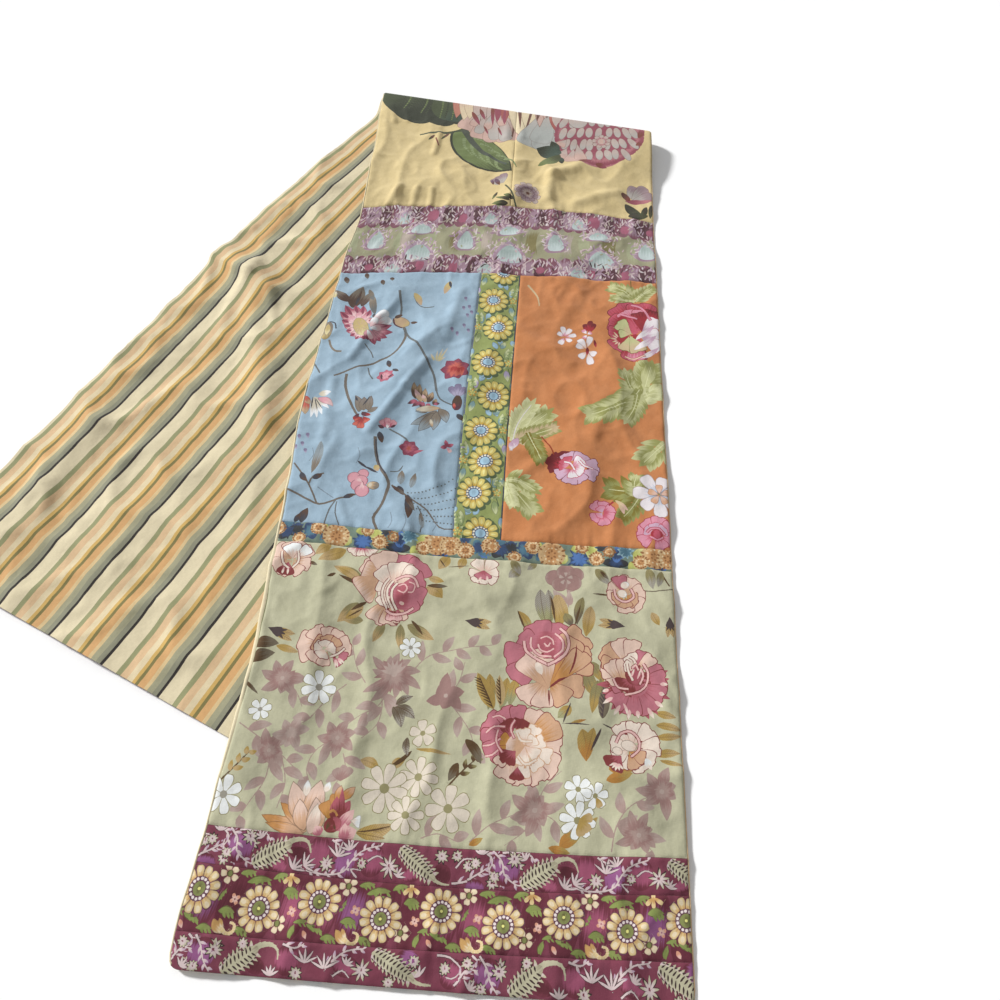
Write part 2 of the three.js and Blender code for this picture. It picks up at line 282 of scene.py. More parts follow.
class Sheet:
    # a closed sheet: a flat grid given a thickness, then every point laid where the cloth lies
    thickness = 0.5

    def __init__(self, name, acrossPlaces, lines, offsets, shift=None):
        columns, rows = len(acrossPlaces), len(lines)
        left = np.array([line[0] for line in lines], float)[:, None]
        right = np.array([line[1] for line in lines], float)[:, None]
        across = np.tile(np.array(acrossPlaces, float), (rows, 1))
        along = left + (right - left) * across / cloth["width"]
        if shift:
            across = shift(across, along)
        lower, upper = offsets(across, along)
        self.across, self.along = roundCorners(across, along)
        points = lay(self.across, self.along)
        normal = normalsOf(points)

        bm = bmesh.new()
        bmesh.ops.create_grid(bm, x_segments=columns - 1, y_segments=rows - 1, size=0.5)
        bmesh.ops.solidify(bm, geom=bm.faces[:], thickness=-self.thickness)
        bmesh.ops.recalc_face_normals(bm, faces=bm.faces[:])
        mesh = meshFrom(bm, name)

        flat = np.empty(len(mesh.vertices) * 3, np.float32)
        mesh.vertices.foreach_get("co", flat)
        flat = flat.reshape(-1, 3)
        self.column = np.rint((flat[:, 0] + 0.5) * (columns - 1)).astype(int)
        self.row = np.rint((flat[:, 1] + 0.5) * (rows - 1)).astype(int)
        onTop = flat[:, 2] > self.thickness / 2
        height = np.where(onTop, upper[self.row, self.column], lower[self.row, self.column]) * mm
        placed = points[self.row, self.column] + normal[self.row, self.column] * height[:, None]
        mesh.vertices.foreach_set("co", placed.astype(np.float32).ravel())

        self.corner = np.empty(len(mesh.loops), np.int32)
        mesh.loops.foreach_get("vertex_index", self.corner)
        places = np.stack([self.across[self.row, self.column], self.along[self.row, self.column]], 1)
        cut = mesh.uv_layers.new(name="cut")
        cut.uv.foreach_set("vector", places.astype(np.float32)[self.corner].ravel())
        mesh.polygons.foreach_set("use_smooth", np.ones(len(mesh.polygons), bool))
        mesh.update()
        self.mesh, self.object = mesh, addObject(name, mesh)


print("cloth functions ready")

# Printing. A print is a pile of marks: petals, leaves, discs and strokes. Each mark runs from one
# place to another with a width, and its outline is x^a (1-x)^b along it.
shapes = {"petal": (0.9, 0.32), "fan": (1.3, 0.22), "leaf": (0.75, 0.95), "lance": (0.8, 1.5),
    "drop": (0.4, 1.0), "round": (0.5, 0.5), "stroke": (0.03, 0.03), "taper": (0.05, 0.7)}

# The very ends of a mark are left out, as its outline has no slope there
markEnds = (0.0005, 0.9995)

# How far across the cloth the prints of the bands repeat, in millimetres
bandRepeat, daisyRepeat, heartRepeat = 194, 85.6, 105


def printColour(colour):
    # the eye's 0 to 255 values as linear light
    value = np.array(colour, float) / 255
    return np.where(value <= 0.04045, value / 12.92, ((value + 0.055) / 1.055) ** 2.4)


class Print:
    def __init__(self, colours, seed):
        self.colours, self.marks, self.random = colours, [], random.Random(seed)

    def mark(self, start, end, wide, shape, base, tip=None, bend=0, rim=0.0, turn=0.55, veins=0, streak=0.5):
        along = np.subtract(end, start)
        length = max(float(np.hypot(*along)), 0.2)
        a, b = shapes[shape]
        peak = (a / (a + b)) ** a * (b / (a + b)) ** b
        half = wide / 2 / peak
        self.marks.append({"start": start, "along": along / length, "length": length, "half": half,
            "wide": wide, "form": (a, b, bend / half), "edge": (half / length, rim, streak),
            "look": (turn, veins, self.random.uniform(0, 6)), "bow": abs(bend),
            "base": printColour(self.colours[base]), "tip": printColour(self.colours[tip or base])})

    def lay(self, shape, base, tip, *rows, **look):
        # marks of one kind: from, to, width and, where it bends, by how much; a row without a width
        # has that of the row before
        wide = 0
        for fromU, fromV, toU, toV, *size in rows:
            wide, *bend = size or (wide,)
            self.mark((fromU, fromV), (toU, toV), wide, shape, base, tip, *bend, **look)

    def leaves(self, base, tip, *rows, **look):
        self.lay("leaf", base, tip, *rows, **look)

    def petals(self, base, tip, *rows, **look):
        self.lay("petal", base, tip, *rows, **look)

    def dot(self, at, radius, base, tip=None, rim=0, turn=0.55):
        self.mark((at[0] - radius, at[1]), (at[0] + radius, at[1]), radius * 2, "round", base, tip, rim=rim,
            turn=-turn, streak=0.2)

    def ring(self, at, inner, outer, count, wide, base, tip=None, shape="petal", turn=0.55, rim=0, start=90,
            sweep=360, uneven=0.0, lean=0, streak=0.5, squash=1.0):
        # petals round a centre
        for i in range(count):
            angle = math.radians(start + sweep * i / count) + self.random.uniform(-1, 1) * uneven / count
            reach = outer * (1 + self.random.uniform(-1, 1) * uneven * 0.25)
            ray = (math.cos(angle), math.sin(angle) * squash)
            self.mark((at[0] + ray[0] * inner, at[1] + ray[1] * inner), (at[0] + ray[0] * reach,
                at[1] + ray[1] * reach), wide, shape, base, tip, turn=turn, rim=rim, bend=lean,
                streak=streak)

    def dots(self, at, outer, count, radius, base):
        for i in range(count):
            angle = math.radians(90 + 360 * i / count)
            self.dot((at[0] + outer * math.cos(angle), at[1] + outer * math.sin(angle)), radius, base)

    def stem(self, points, wide, base, tip=None, endWide=None, step=4.0):
        # a smooth line through the given places, in short strokes
        endWide = wide if endWide is None else endWide
        ring = [points[0], *points, points[-1]]
        route = []
        for before, first, second, after in zip(ring, ring[1:], ring[2:], ring[3:]):
            count = max(3 if wide < 4 else 2, round(math.dist(first, second) / step))
            for i in range(count):
                t = i / count
                route.append(tuple(
                    0.5 * (2 * q + (r - p) * t + (2 * p - 5 * q + 4 * r - s) * t * t
                           + (3 * q - p - 3 * r + s) * t ** 3)
                    for p, q, r, s in zip(before, first, second, after)))
        route.append(points[-1])
        for i, (first, second) in enumerate(zip(route, route[1:])):
            here = wide + (endWide - wide) * i / max(1, len(route) - 2)
            reach = here * 0.35 / max(math.dist(first, second), 0.1)
            longer = tuple(s + (s - f) * reach for f, s in zip(first, second))
            self.mark(first, longer, here, "stroke", base, tip, streak=0.2)
        return route

    def sprig(self, points, wide, stemColour, leafColour, leafTip, length, leafWide, every, spread,
            start=0.25, both=False):
        # a stem with leaves that leave it on alternate sides
        route = self.stem(points, wide, stemColour, endWide=wide * 0.6, step=2.5)
        gone, side = 0.0, 1
        total = sum(math.dist(f, s) for f, s in zip(route, route[1:]))
        nextAt = total * start
        for first, second in zip(route, route[1:]):
            gone += math.dist(first, second)
            if gone < nextAt:
                continue
            nextAt += every
            away = math.atan2(second[1] - first[1], second[0] - first[0])
            for way in ((side, -side) if both else (side,)):
                angle = away + math.radians(spread * way)
                reach = length * (1.1 - 0.45 * gone / total)
                tip = (second[0] + reach * math.cos(angle), second[1] + reach * math.sin(angle))
                self.mark(second, tip, leafWide, "leaf", leafColour, leafTip, 0.12 * leafWide * way)
            side = -side

    def fringe(self, at, inner, outer, start, sweep, count, wide, base, tip):
        # narrow pointed petals along part of a ring
        self.ring(at, inner, outer, count, wide, base, tip, "leaf", 0.45, 0, start, sweep, 0.25)


def markDistance(mark, places):
    # how far inside a mark's outline each place lies, in millimetres
    off = places - np.array(mark["start"])
    along, side = mark["along"], np.array((-mark["along"][1], mark["along"][0]))
    x, y = off @ along / mark["length"], off @ side / mark["half"]
    a, b, bend = mark["form"]
    inside = np.clip(x, *markEnds)
    outline = inside ** a * (1 - inside) ** b
    ratio = mark["edge"][0]
    slope = ratio * outline * (a / inside - b / (1 - inside))
    away = (outline - np.abs(y - bend * 4 * x * (1 - x))) * mark["half"] / np.sqrt(1 + slope ** 2)
    return np.minimum(away, (0.5 - np.abs(x - 0.5)) * mark["half"] / ratio)


# How far from its outline, in millimetres, a mark still touches a cell, hides it, and is looked for
slack = {"touches": -0.35, "hides": 0.3, "near": 0.4}


def stackMarks(sheet, marks, mapPlaces, layers):
    # gives every cell of the sheet the topmost marks that touch it, as attributes for the finish
    grid = mapPlaces(np.stack([sheet.across, sheet.along], -1))
    rows, columns = grid.shape[0] - 1, grid.shape[1] - 1
    samples = []
    for s in (0.0, 0.5, 1.0):
        for t in (0.0, 0.5, 1.0):
            samples.append(grid[:-1, :-1] * (1 - s) * (1 - t) + grid[:-1, 1:] * (1 - s) * t
                           + grid[1:, :-1] * s * (1 - t) + grid[1:, 1:] * s * t)
    samples = np.stack(samples)
    centre = samples[4]
    cell = np.abs(samples - centre).max(axis=0)
    stack = np.full((layers, rows, columns), -1)
    cover = np.full((rows, columns), -1)
    for i, mark in enumerate(marks):
        ends = np.array([mark["start"], np.array(mark["start"]) + mark["along"] * mark["length"]])
        reach = mark["wide"] / 2 + mark["bow"] + slack["near"]
        low, high = ends.min(0) - reach, ends.max(0) + reach
        near = np.all((centre > low - cell) & (centre < high + cell), axis=-1)
        if not near.any():
            continue
        away = markDistance(mark, samples[:, near])
        touched, hidden = away.max(0) > slack["touches"], away.min(0) > slack["hides"]
        spots = np.argwhere(near)
        at = spots[touched & ~hidden]
        stack[1:, at[:, 0], at[:, 1]] = stack[:-1, at[:, 0], at[:, 1]]
        stack[0, at[:, 0], at[:, 1]] = i
        at = spots[hidden]
        stack[:, at[:, 0], at[:, 1]] = -1
        cover[at[:, 0], at[:, 1]] = i
    # the last mark to hide a whole cell is always kept, under those that only touch it
    used = (stack >= 0).sum(0)
    at = np.argwhere(cover >= 0)
    under = np.minimum(used, layers - 1)[at[:, 0], at[:, 1]]
    stack[under, at[:, 0], at[:, 1]] = cover[at[:, 0], at[:, 1]]

    mesh = sheet.mesh
    starts = np.empty(len(mesh.polygons), np.int32)
    mesh.polygons.foreach_get("loop_start", starts)
    cornersOf = sheet.corner[starts[:, None] + np.arange(4)]
    row = np.clip(sheet.row[cornersOf].min(1), 0, rows - 1)
    column = np.clip(sheet.column[cornersOf].min(1), 0, columns - 1)
    cornerPlace = grid[sheet.row, sheet.column][sheet.corner]
    table = {key: np.array([mark[key] for mark in marks]) for key in ("start", "along", "length", "half",
        "form", "edge", "look", "base", "tip")}
    for layer in range(layers):
        chosen = stack[layer, row, column]
        missing = chosen < 0
        for key in ("form", "edge", "look", "base", "tip"):
            values = np.where(missing[:, None], np.array((1.0, 1.0, 0.0)), table[key][chosen])
            made = mesh.attributes.new(f"{key}{layer}", "FLOAT_VECTOR", "FACE")
            made.data.foreach_set("vector", values.astype(np.float32).ravel())
        ofCorner = np.repeat(chosen, 4)
        off = cornerPlace - table["start"][ofCorner]
        along = table["along"][ofCorner]
        x = (off * along).sum(1) / table["length"][ofCorner]
        y = (off[:, 1] * along[:, 0] - off[:, 0] * along[:, 1]) / table["half"][ofCorner]
        place = np.stack([x, y, table["half"][ofCorner]], 1)
        place[np.repeat(missing, 4)] = (0.5, 9.0, 1.0)
        made = mesh.attributes.new(f"place{layer}", "FLOAT_VECTOR", "CORNER")
        made.data.foreach_set("vector", place.astype(np.float32).ravel())
    return int((used >= layers).sum())


# Sage ground with roses, daisies and plain mauve flowers
sageColours = {"wine": (172, 92, 104), "berry": (190, 118, 132), "dark": (128, 58, 58),
    "blush": (226, 198, 184), "peach": (208, 168, 138), "cream": (236, 222, 210), "white": (238, 242, 244),
    "pink": (232, 190, 188), "orange": (196, 142, 86), "amber": (178, 128, 64), "mauve": (170, 146, 140),
    "plain": (156, 124, 120), "faint": (182, 163, 156), "tan": (190, 164, 118), "gold": (176, 148, 84),
    "olive": (140, 132, 92), "moss": (158, 158, 118), "brown": (92, 70, 46), "bud": (78, 66, 66),
    "petal": (222, 212, 198), "heart": (152, 146, 108), "grey": (160, 156, 146), "dusk": (112, 102, 86)}


def axes(start, end):
    # unit steps along a line and to its side, and the length of the line
    along = np.subtract(end, start)
    length = float(np.hypot(*along))
    return along / length, np.array((-along[1], along[0])) / length, length


def feather(p, start, end, wide, dark, pale, count):
    # a pale leaf with dark barbs along one side of its rib
    p.mark(start, end, wide, "leaf", pale, veins=0.15)
    along, side, length = axes(start, end)
    for i in range(count):
        root = np.array(start) + along * length * (0.08 + 0.8 * i / count)
        reach = wide * 0.62 * math.sin(math.pi * (0.22 + 0.62 * i / count))
        p.mark(tuple(root), tuple(root + along * reach * 0.9 + side * reach * 0.75), 1.5, "taper", dark)
    p.mark(start, end, 1.1, "leaf", dark)


def paleFlower(p, at, radius, petals, base, heart, start):
    wide = radius * 3.5 / petals
    p.ring(at, radius * 0.08, radius + 0.5, petals, wide + 1.0, "olive", start=start)
    p.ring(at, radius * 0.08, radius, petals, wide, base, start=start)
    p.dot(at, radius * 0.2, heart)


def lobes(p, at, base, tip, *rows, edge="dark", turn=0.5):
    # outlined petals with scalloped ends: towards, reach, spread in degrees and how many scallops;
    # what a row leaves out is as in the row before
    shared = []
    for toward, reach, *changed in rows:
        shared = changed + shared[len(changed):]
        spread, count = shared
        wide = reach * math.radians(spread) / count * 1.3
        for grow, first, second in ((0.6, edge, edge), (0, base, tip)):
            for i in range(count):
                angle = math.radians(toward + ((i + 0.5) / count - 0.5) * spread)
                far = (reach + grow) * (0.95 if i % 2 else 1.0)
                p.mark(at, (at[0] + far * math.cos(angle), at[1] + far * math.sin(angle)), wide + 2 * grow,
                    "fan", first, second, turn=turn)


def folds(p, wide, colour, *routes, edge="dark"):
    # petal edges that turn over: pale strokes on dark ones
    for route in routes:
        p.stem(route, wide + 1.2, edge, step=5)
        p.stem(route, wide, colour, step=5)


def bud(p, at, toward, size):
    # a dark pointed bud that leaves its tan leaves
    ray = np.array((math.cos(math.radians(toward)), math.sin(math.radians(toward))))
    side, at = np.array((-ray[1], ray[0])), np.array(at)
    for off in (-0.22, 0.22):
        p.mark(at + ray * size * 0.3, at - ray * size * 0.9 + side * size * off, size * 0.45, "leaf", "gold",
            "tan", veins=0.5)
    p.mark(at + ray * size * 0.75, at - ray * size * 0.12, size * 0.62, "fan", "bud")
    for off in (-0.3, 0, 0.3):
        p.mark(at + ray * size * 0.15, at - ray * size * 0.4 + side * size * off, size * 0.16, "leaf", "bud")


def mauveFlower(p, at, radius, petals, start, base="plain", tip="mauve"):
    p.ring(at, 0.5, radius * 1.1, petals, radius * 4.2 / petals, base, tip, "leaf", start=start, uneven=1.3,
        lean=radius * 0.09)
    p.ring(at, 0.5, radius * 0.66, petals, radius * 2.2 / petals, tip, base, "leaf", start=start + 20,
        uneven=1.0, lean=-radius * 0.05)
    p.dot(at, radius * 0.12, "faint")


def sagePrint():
    p = Print(sageColours, 11)
    # plain mauve growth behind everything
    for route in (((137, 222), (150, 236), (172, 243), (202, 249)), ((167, 203), (176, 214), (180, 232)),
            ((168, 200), (180, 188), (190, 174), (194, 158)), ((100, 208), (90, 222), (84, 240)),
            ((120, 206), (112, 190), (98, 180), (84, 168)), ((112, 206), (116, 190), (114, 176), (104, 164)),
            ((84, 206), (70, 192), (60, 176), (48, 166)), ((84, 163), (70, 152), (66, 138), (72, 126)),
            ((6, 166), (22, 158), (38, 150), (56, 138)), ((36, 146), (36, 128), (30, 112), (22, 96)),
            ((46, 142), (52, 126), (50, 108)), ((92, 152), (96, 140), (90, 128)),
            ((30, 205), (44, 196), (52, 184)), ((196, 96), (210, 108), (226, 116), (243, 121)),
            ((243, 121), (258, 114), (270, 100)), ((243, 121), (250, 138), (262, 150)),
            ((243, 121), (236, 106), (222, 95)), ((300, 94), (304, 112), (314, 126), (334, 136)),
            ((320, 106), (330, 94)), ((160, 96), (172, 100), (186, 96)),
            ((265, 288), (264, 300), (262, 312))):
        p.sprig(route, 0.9, "mauve", "mauve", "faint", 18, 7.4, 10.5, 44, start=0.12)
    mauveFlower(p, (122, 218), 21, 11, 80)
    p.ring((122, 218), 0, 12, 7, 3, "faint", shape="leaf", start=40, sweep=150)
    for at, radius, petals, start, *tones in (((31, 205), 15, 7, 60), ((85, 163), 14, 7, 20),
            ((167, 203), 14, 6, 80, "plain", "plain"), ((243, 121), 16, 7, 0), ((338, 138), 15, 7, 70),
            ((320, 106), 14, 8, 60), ((34, 148), 12, 6, 50), ((48, 163), 11, 6, 10, "mauve", "faint")):
        mauveFlower(p, at, radius, petals, start, *tones)
    # flat mauve rose at the top
    for at, radius in (((252, 316), 8), ((262, 322), 8), ((271, 320), 7), ((268, 312), 8), ((257, 310), 7)):
        p.dot(at, radius, "plain", "mauve", rim=0.3, turn=0.8)
    p.ring((262, 316), 1, 6, 5, 3.2, "faint", shape="fan")
    p.lay("drop", "mauve", "faint", (266, 290, 265, 304, 6))
    p.petals("plain", "mauve", (94, 131, 88, 140, 7), (94, 131, 95, 143, 6), (94, 131, 101, 141))

    # shaded leaves
    p.leaves("olive", "tan", (84, 277, 68, 258, 11), (84, 300, 58, 308, 9), (90, 262, 70, 262, 8),
        (128, 262, 152, 250, 10), (108, 262, 100, 244, 8), (122, 262, 124, 240), veins=0.3)
    p.leaves("tan", "gold", (88, 276, 74, 262, 9, 1), (84, 296, 62, 307, 8, -1), (141, 296, 156, 288, 12, 3),
        (142, 306, 156, 303, 7), (106, 148, 122, 142, 8, 2), (131, 144, 141, 152, 7, 1), veins=0.35)
    p.leaves("brown", None, (91, 279, 78, 270, 3.4), (83, 293, 64, 300), (61, 301, 54, 297, 3),
        (131, 266, 142, 254, 3, 0.4), (88, 272, 76, 264, 1.4), (145, 158, 128, 144, 3.4, 1))
    p.leaves("dusk", "grey", (127, 193, 140, 201, 6, 1), (125, 191, 134, 175, 9, 2),
        (127, 191, 144, 183, 9, 2), (140, 168, 142, 154, 6, -1), veins=0.9)
    p.sprig([(176, 134), (186, 146), (198, 158)], 1.4, "brown", "brown", "olive", 9, 3.6, 4, 40)
    p.sprig([(3, 122), (12, 134), (20, 146)], 1.4, "brown", "tan", "gold", 9, 4.0, 4, 40)
    p.leaves("brown", "dusk", (0, 230, 22, 234, 10, 2), (0, 216, 20, 226, 10, 2), (0, 200, 14, 190, 3),
        (186, 170, 200, 152, 8, 2), (182, 152, 176, 138, 7))
    p.leaves("gold", "tan", (20, 232, 40, 228, 6), (148, 160, 176, 158, 3), veins=0.2)
    p.leaves("gold", "moss", (222, 282, 234, 260, 8, 2), (201, 224, 202, 194, 9, 1), (216, 222, 212, 194),
        (224, 222, 219, 198, 9, -1), (268, 200, 258, 190), veins=0.35)
    feather(p, (206, 195), (191, 224), 12, "brown", "gold", 9)
    feather(p, (212, 198), (209, 224), 8, "brown", "tan", 7)
    p.leaves("grey", "moss", (240, 304, 247, 270, 12, -1), (247, 304, 250, 272, 9, 1), veins=0.7)
    p.leaves("tan", "gold", (254, 300, 258, 268, 13, 1), (256, 300, 264, 272, 9), (284, 290, 280, 262, 11),
        (336, 288, 342, 276, 7), veins=0.35)
    p.leaves("olive", "dusk", (277, 298, 272, 272, 8, -1), (262, 282, 268, 270), veins=0.3)
    p.leaves("brown", None, (249, 299, 254, 273, 2.2, 0.4), (275, 290, 270, 270, 1.8), (221, 283, 230, 262))
    p.leaves("olive", "gold", (280, 234, 292, 208, 11, -2), (284, 240, 296, 222, 9), (290, 224, 285, 196),
        (292, 226, 296, 200, 6), veins=0.35)
    feather(p, (293, 192), (297, 222), 9, "bud", "dusk", 7)
    p.leaves("gold", "amber", (277, 182, 281, 158, 12, 1), (286, 184, 281, 162, 8), (268, 186, 280, 190, 3),
        veins=0.4)
    p.leaves("bud", None, (292, 184, 284, 166, 2.4), (262, 186, 268, 204, 1.6), (283, 186, 261, 186, 1.2),
        (293, 188, 307, 183))
    p.leaves("amber", "gold", (262, 96, 278, 106, 10, 1), (254, 95, 270, 92, 6), (278, 106, 290, 118),
        (196, 94, 206, 99, 5), (298, 152, 322, 160, 14), (296, 144, 316, 150, 8), veins=0.15)
    p.leaves("gold", "tan", (112, 96, 140, 104, 11, -2), (114, 96, 134, 94, 6), veins=0.6)
    p.leaves("brown", None, (112, 97, 140, 104, 1.4, -1))
    p.leaves("gold", "tan", (336, 200, 352, 196, 6), (336, 190, 356, 186, 6, 1), (336, 180, 356, 182),
        (335, 166, 354, 168, 7, 1), (338, 162, 356, 158, 4), veins=0.4)
    p.stem([(326, 309), (340, 308), (356, 311)], 1.0, "dusk")
    p.stem([(346, 326), (350, 318), (352, 314)], 1.4, "brown")
    p.leaves("olive", "grey", (334, 330, 338, 310, 8), (346, 328, 342, 312, 7), (288, 326, 300, 312, 9),
        (222, 322, 212, 312), (214, 330, 222, 316, 8), (236, 330, 228, 322, 6), veins=0.25)
    p.leaves("gold", "tan", (66, 326, 44, 312, 12), (52, 330, 40, 318, 9), (158, 330, 150, 316, 10),
        (172, 330, 168, 318, 8), veins=0.3)
    p.leaves("brown", "dusk", (292, 324, 299, 317, 3), (142, 298, 160, 299, 4), (36, 310, 44, 307, 3.4),
        (150, 326, 156, 318, 1.2), (158, 319, 178, 322, 1.0), (300, 302, 285, 302, 1.8))

    # full rose, left
    lobes(p, (116, 298), "wine", "berry", (80, 30, 42, 2), (44, 31), (6, 24, 52), (-34, 28, 44),
        (-62, 29, 30, 1))
    lobes(p, (106, 300), "blush", "blush", (142, 27, 44, 2), (104, 29, 46))
    lobes(p, (112, 286), "peach", "blush", (240, 28, 34, 3), (268, 26), (296, 24, 30), turn=0.7)
    lobes(p, (114, 282), "wine", "pink", (276, 18, 44, 3), turn=0.75)
    lobes(p, (101, 302), "peach", "blush", (168, 17, 60, 1), (222, 23, 50), turn=0.8)
    p.dot((121, 289), 14, "wine", "berry")
    lobes(p, (114, 292), "blush", "cream", (196, 15, 44, 1), (236, 19, 40, 2), (160, 16, 44, 1),
        (124, 25, 44, 2), (84, 28), (56, 27, 20, 1), turn=0.6)
    p.dot((121, 287), 11, "wine", "berry")
    folds(p, 1.9, "cream", [(108, 302), (104, 294), (104, 284), (109, 274)],
        [(112, 300), (108, 292), (109, 283), (114, 274)], [(116, 298), (112, 291), (113, 282), (117, 275)])
    folds(p, 2.0, "pink", [(114, 301), (122, 305), (130, 303), (134, 296)],
        [(108, 273), (115, 270), (124, 272), (131, 277)])
    folds(p, 1.1, "pink", [(117, 295), (122, 297), (125, 293), (122, 289), (117, 291)],
        [(126, 299), (131, 297), (130, 291), (126, 290)], edge="wine")
    p.lay("round", "pink", "blush", (119, 281, 123, 280, 3))

    # the three small roses cut by the seam
    lobes(p, (20, 310), "peach", "blush", (150, 22, 50, 2), (100, 20), (50, 21), (-10, 18, 40), (-50, 16),
        (235, 17), (200, 18))
    lobes(p, (20, 312), "blush", "white", (40, 19, 30, 2), (100, 15, 60))
    lobes(p, (17, 309), "wine", "dark", (265, 13, 70, 3))
    folds(p, 1.8, "cream", [(10, 318), (12, 308), (18, 303)], [(24, 320), (26, 310), (22, 304)])
    p.leaves("cream", "pink", (13, 297, 14, 304, 2), (18, 297, 18, 304))
    lobes(p, (190, 315), "blush", "cream", (190, 13, 50, 2), (235, 13, 44), (280, 12), (325, 14),
        (10, 13, 40), (60, 16), (120, 16))
    lobes(p, (190, 318), "wine", "berry", (265, 10, 90, 3))
    p.leaves("pink", "cream", (188, 311, 186, 305, 2.2), (193, 312, 194, 306))
    lobes(p, (80, 336), "berry", "cream", (235, 16, 40, 3), (275, 15), (312, 16), turn=0.7)
    p.fringe((80, 334), 0, 8, 200, 150, 5, 4, "wine", "wine")

    # scalloped flower
    lobes(p, (62, 235), "peach", "blush", (185, 24, 64, 2), (132, 20, 46, 3), (92, 18, 36, 2), (54, 19, 40),
        (12, 21, 46), (232, 17), (268, 16, 36))
    lobes(p, (66, 233), "wine", "berry", (-32, 15, 56, 3))
    lobes(p, (64, 234), "orange", "peach", (160, 13, 50, 1), (105, 12, 50, 2), (50, 12, 46), turn=0.4)
    lobes(p, (61, 233), "blush", "cream", (170, 9, 70, 2), (100, 8), (20, 9, 60), (250, 8, 80), turn=0.4)
    folds(p, 1.6, "cream", [(66, 228), (72, 231), (77, 236)])
    p.fringe((70, 230), 4, 11, 280, 60, 4, 2.0, "pink", "cream")

    # big rose
    lobes(p, (246, 244), "wine", "berry", (70, 31, 40, 2), (106, 31, 42), (146, 27), (186, 34, 36),
        (222, 35, 34))
    lobes(p, (248, 236), "orange", "peach", (42, 42, 34, 3), (8, 38, 38), turn=0.4)
    lobes(p, (248, 222), "orange", "peach", (-8, 31, 34, 2), (-46, 25, 42), turn=0.35)
    lobes(p, (248, 222), "peach", "blush", (222, 27, 36, 2), (262, 24, 40))
    lobes(p, (250, 216), "orange", "peach", (66, 48, 22, 1), (48, 44, 22, 2), turn=0.6)
    p.dot((247, 249), 16, "wine", "berry")
    lobes(p, (250, 214), "peach", "blush", (124, 36, 40, 2), (98, 26, 26, 1), turn=0.6)
    folds(p, 2.2, "pink", [(228, 255), (230, 246), (238, 240), (248, 235)],
        [(258, 268), (264, 261), (265, 251), (259, 241), (249, 235)])
    folds(p, 1.6, "pink", [(234, 259), (234, 250), (241, 243), (251, 242)],
        [(254, 263), (260, 257), (260, 248), (254, 242)], edge="wine")
    folds(p, 1.2, "pink", [(240, 253), (242, 248), (248, 246), (253, 249)],
        [(242, 258), (247, 260), (252, 257), (253, 253)], [(245, 254), (248, 251), (250, 254)], edge="wine")
    p.leaves("dark", None, (250, 215, 266, 226, 2.2, 1), (266, 228, 272, 256, 1.8, -2),
        (250, 214, 251, 200, 1.6))
    p.leaves("cream", None, (239, 236, 244, 226, 6))

    # fringed rose, right
    p.ring((319, 222), 12, 29, 14, 5.5, "dark", "wine", "leaf", start=182, sweep=220, uneven=0.3)
    lobes(p, (319, 224), "wine", "berry", (42, 27, 34, 3), (8, 27), (-26, 27), (-60, 28), (-96, 27, 36),
        (-132, 27), (194, 20, 34, 2))
    p.ring((319, 222), 21, 28, 9, 3.2, "pink", "cream", "leaf", start=195, sweep=190, uneven=0.5)
    p.dot((319, 224), 12, "wine", "berry")
    lobes(p, (313, 232), "peach", "blush", (206, 18, 40, 2), (180, 21, 34), turn=0.5)
    lobes(p, (313, 236), "orange", "peach", (140, 25, 40, 2), (168, 21, 30), turn=0.3)
    lobes(p, (313, 238), "peach", "blush", (106, 24, 32, 2), (74, 24), turn=0.3)
    lobes(p, (318, 232), "wine", "berry", (58, 22, 34, 2))
    lobes(p, (318, 230), "peach", "blush", (44, 24, 26, 3))
    lobes(p, (311, 218), "peach", "blush", (116, 26, 30, 2), (88, 27, 28), turn=0.6)
    lobes(p, (318, 226), "wine", "dark", (205, 14, 50, 3), (250, 12, 50, 2))
    p.dot((321, 230), 9, "wine", "dark")
    lobes(p, (322, 236), "blush", "cream", (118, 14, 50, 2), (168, 11), turn=0.5)
    folds(p, 1.8, "cream", [(316, 246), (320, 243), (322, 236)], [(314, 240), (315, 233), (318, 226)])
    folds(p, 1.6, "pink", [(327, 240), (331, 232), (329, 222), (322, 216), (312, 213)],
        [(325, 236), (327, 230), (324, 223)], [(318, 236), (321, 239), (323, 235)],
        [(302, 226), (306, 219), (314, 218)])
    p.leaves("pink", "cream", (317, 228, 320, 236, 1.6), (322, 227, 325, 235), (310, 206, 313, 197, 2.2, 1))

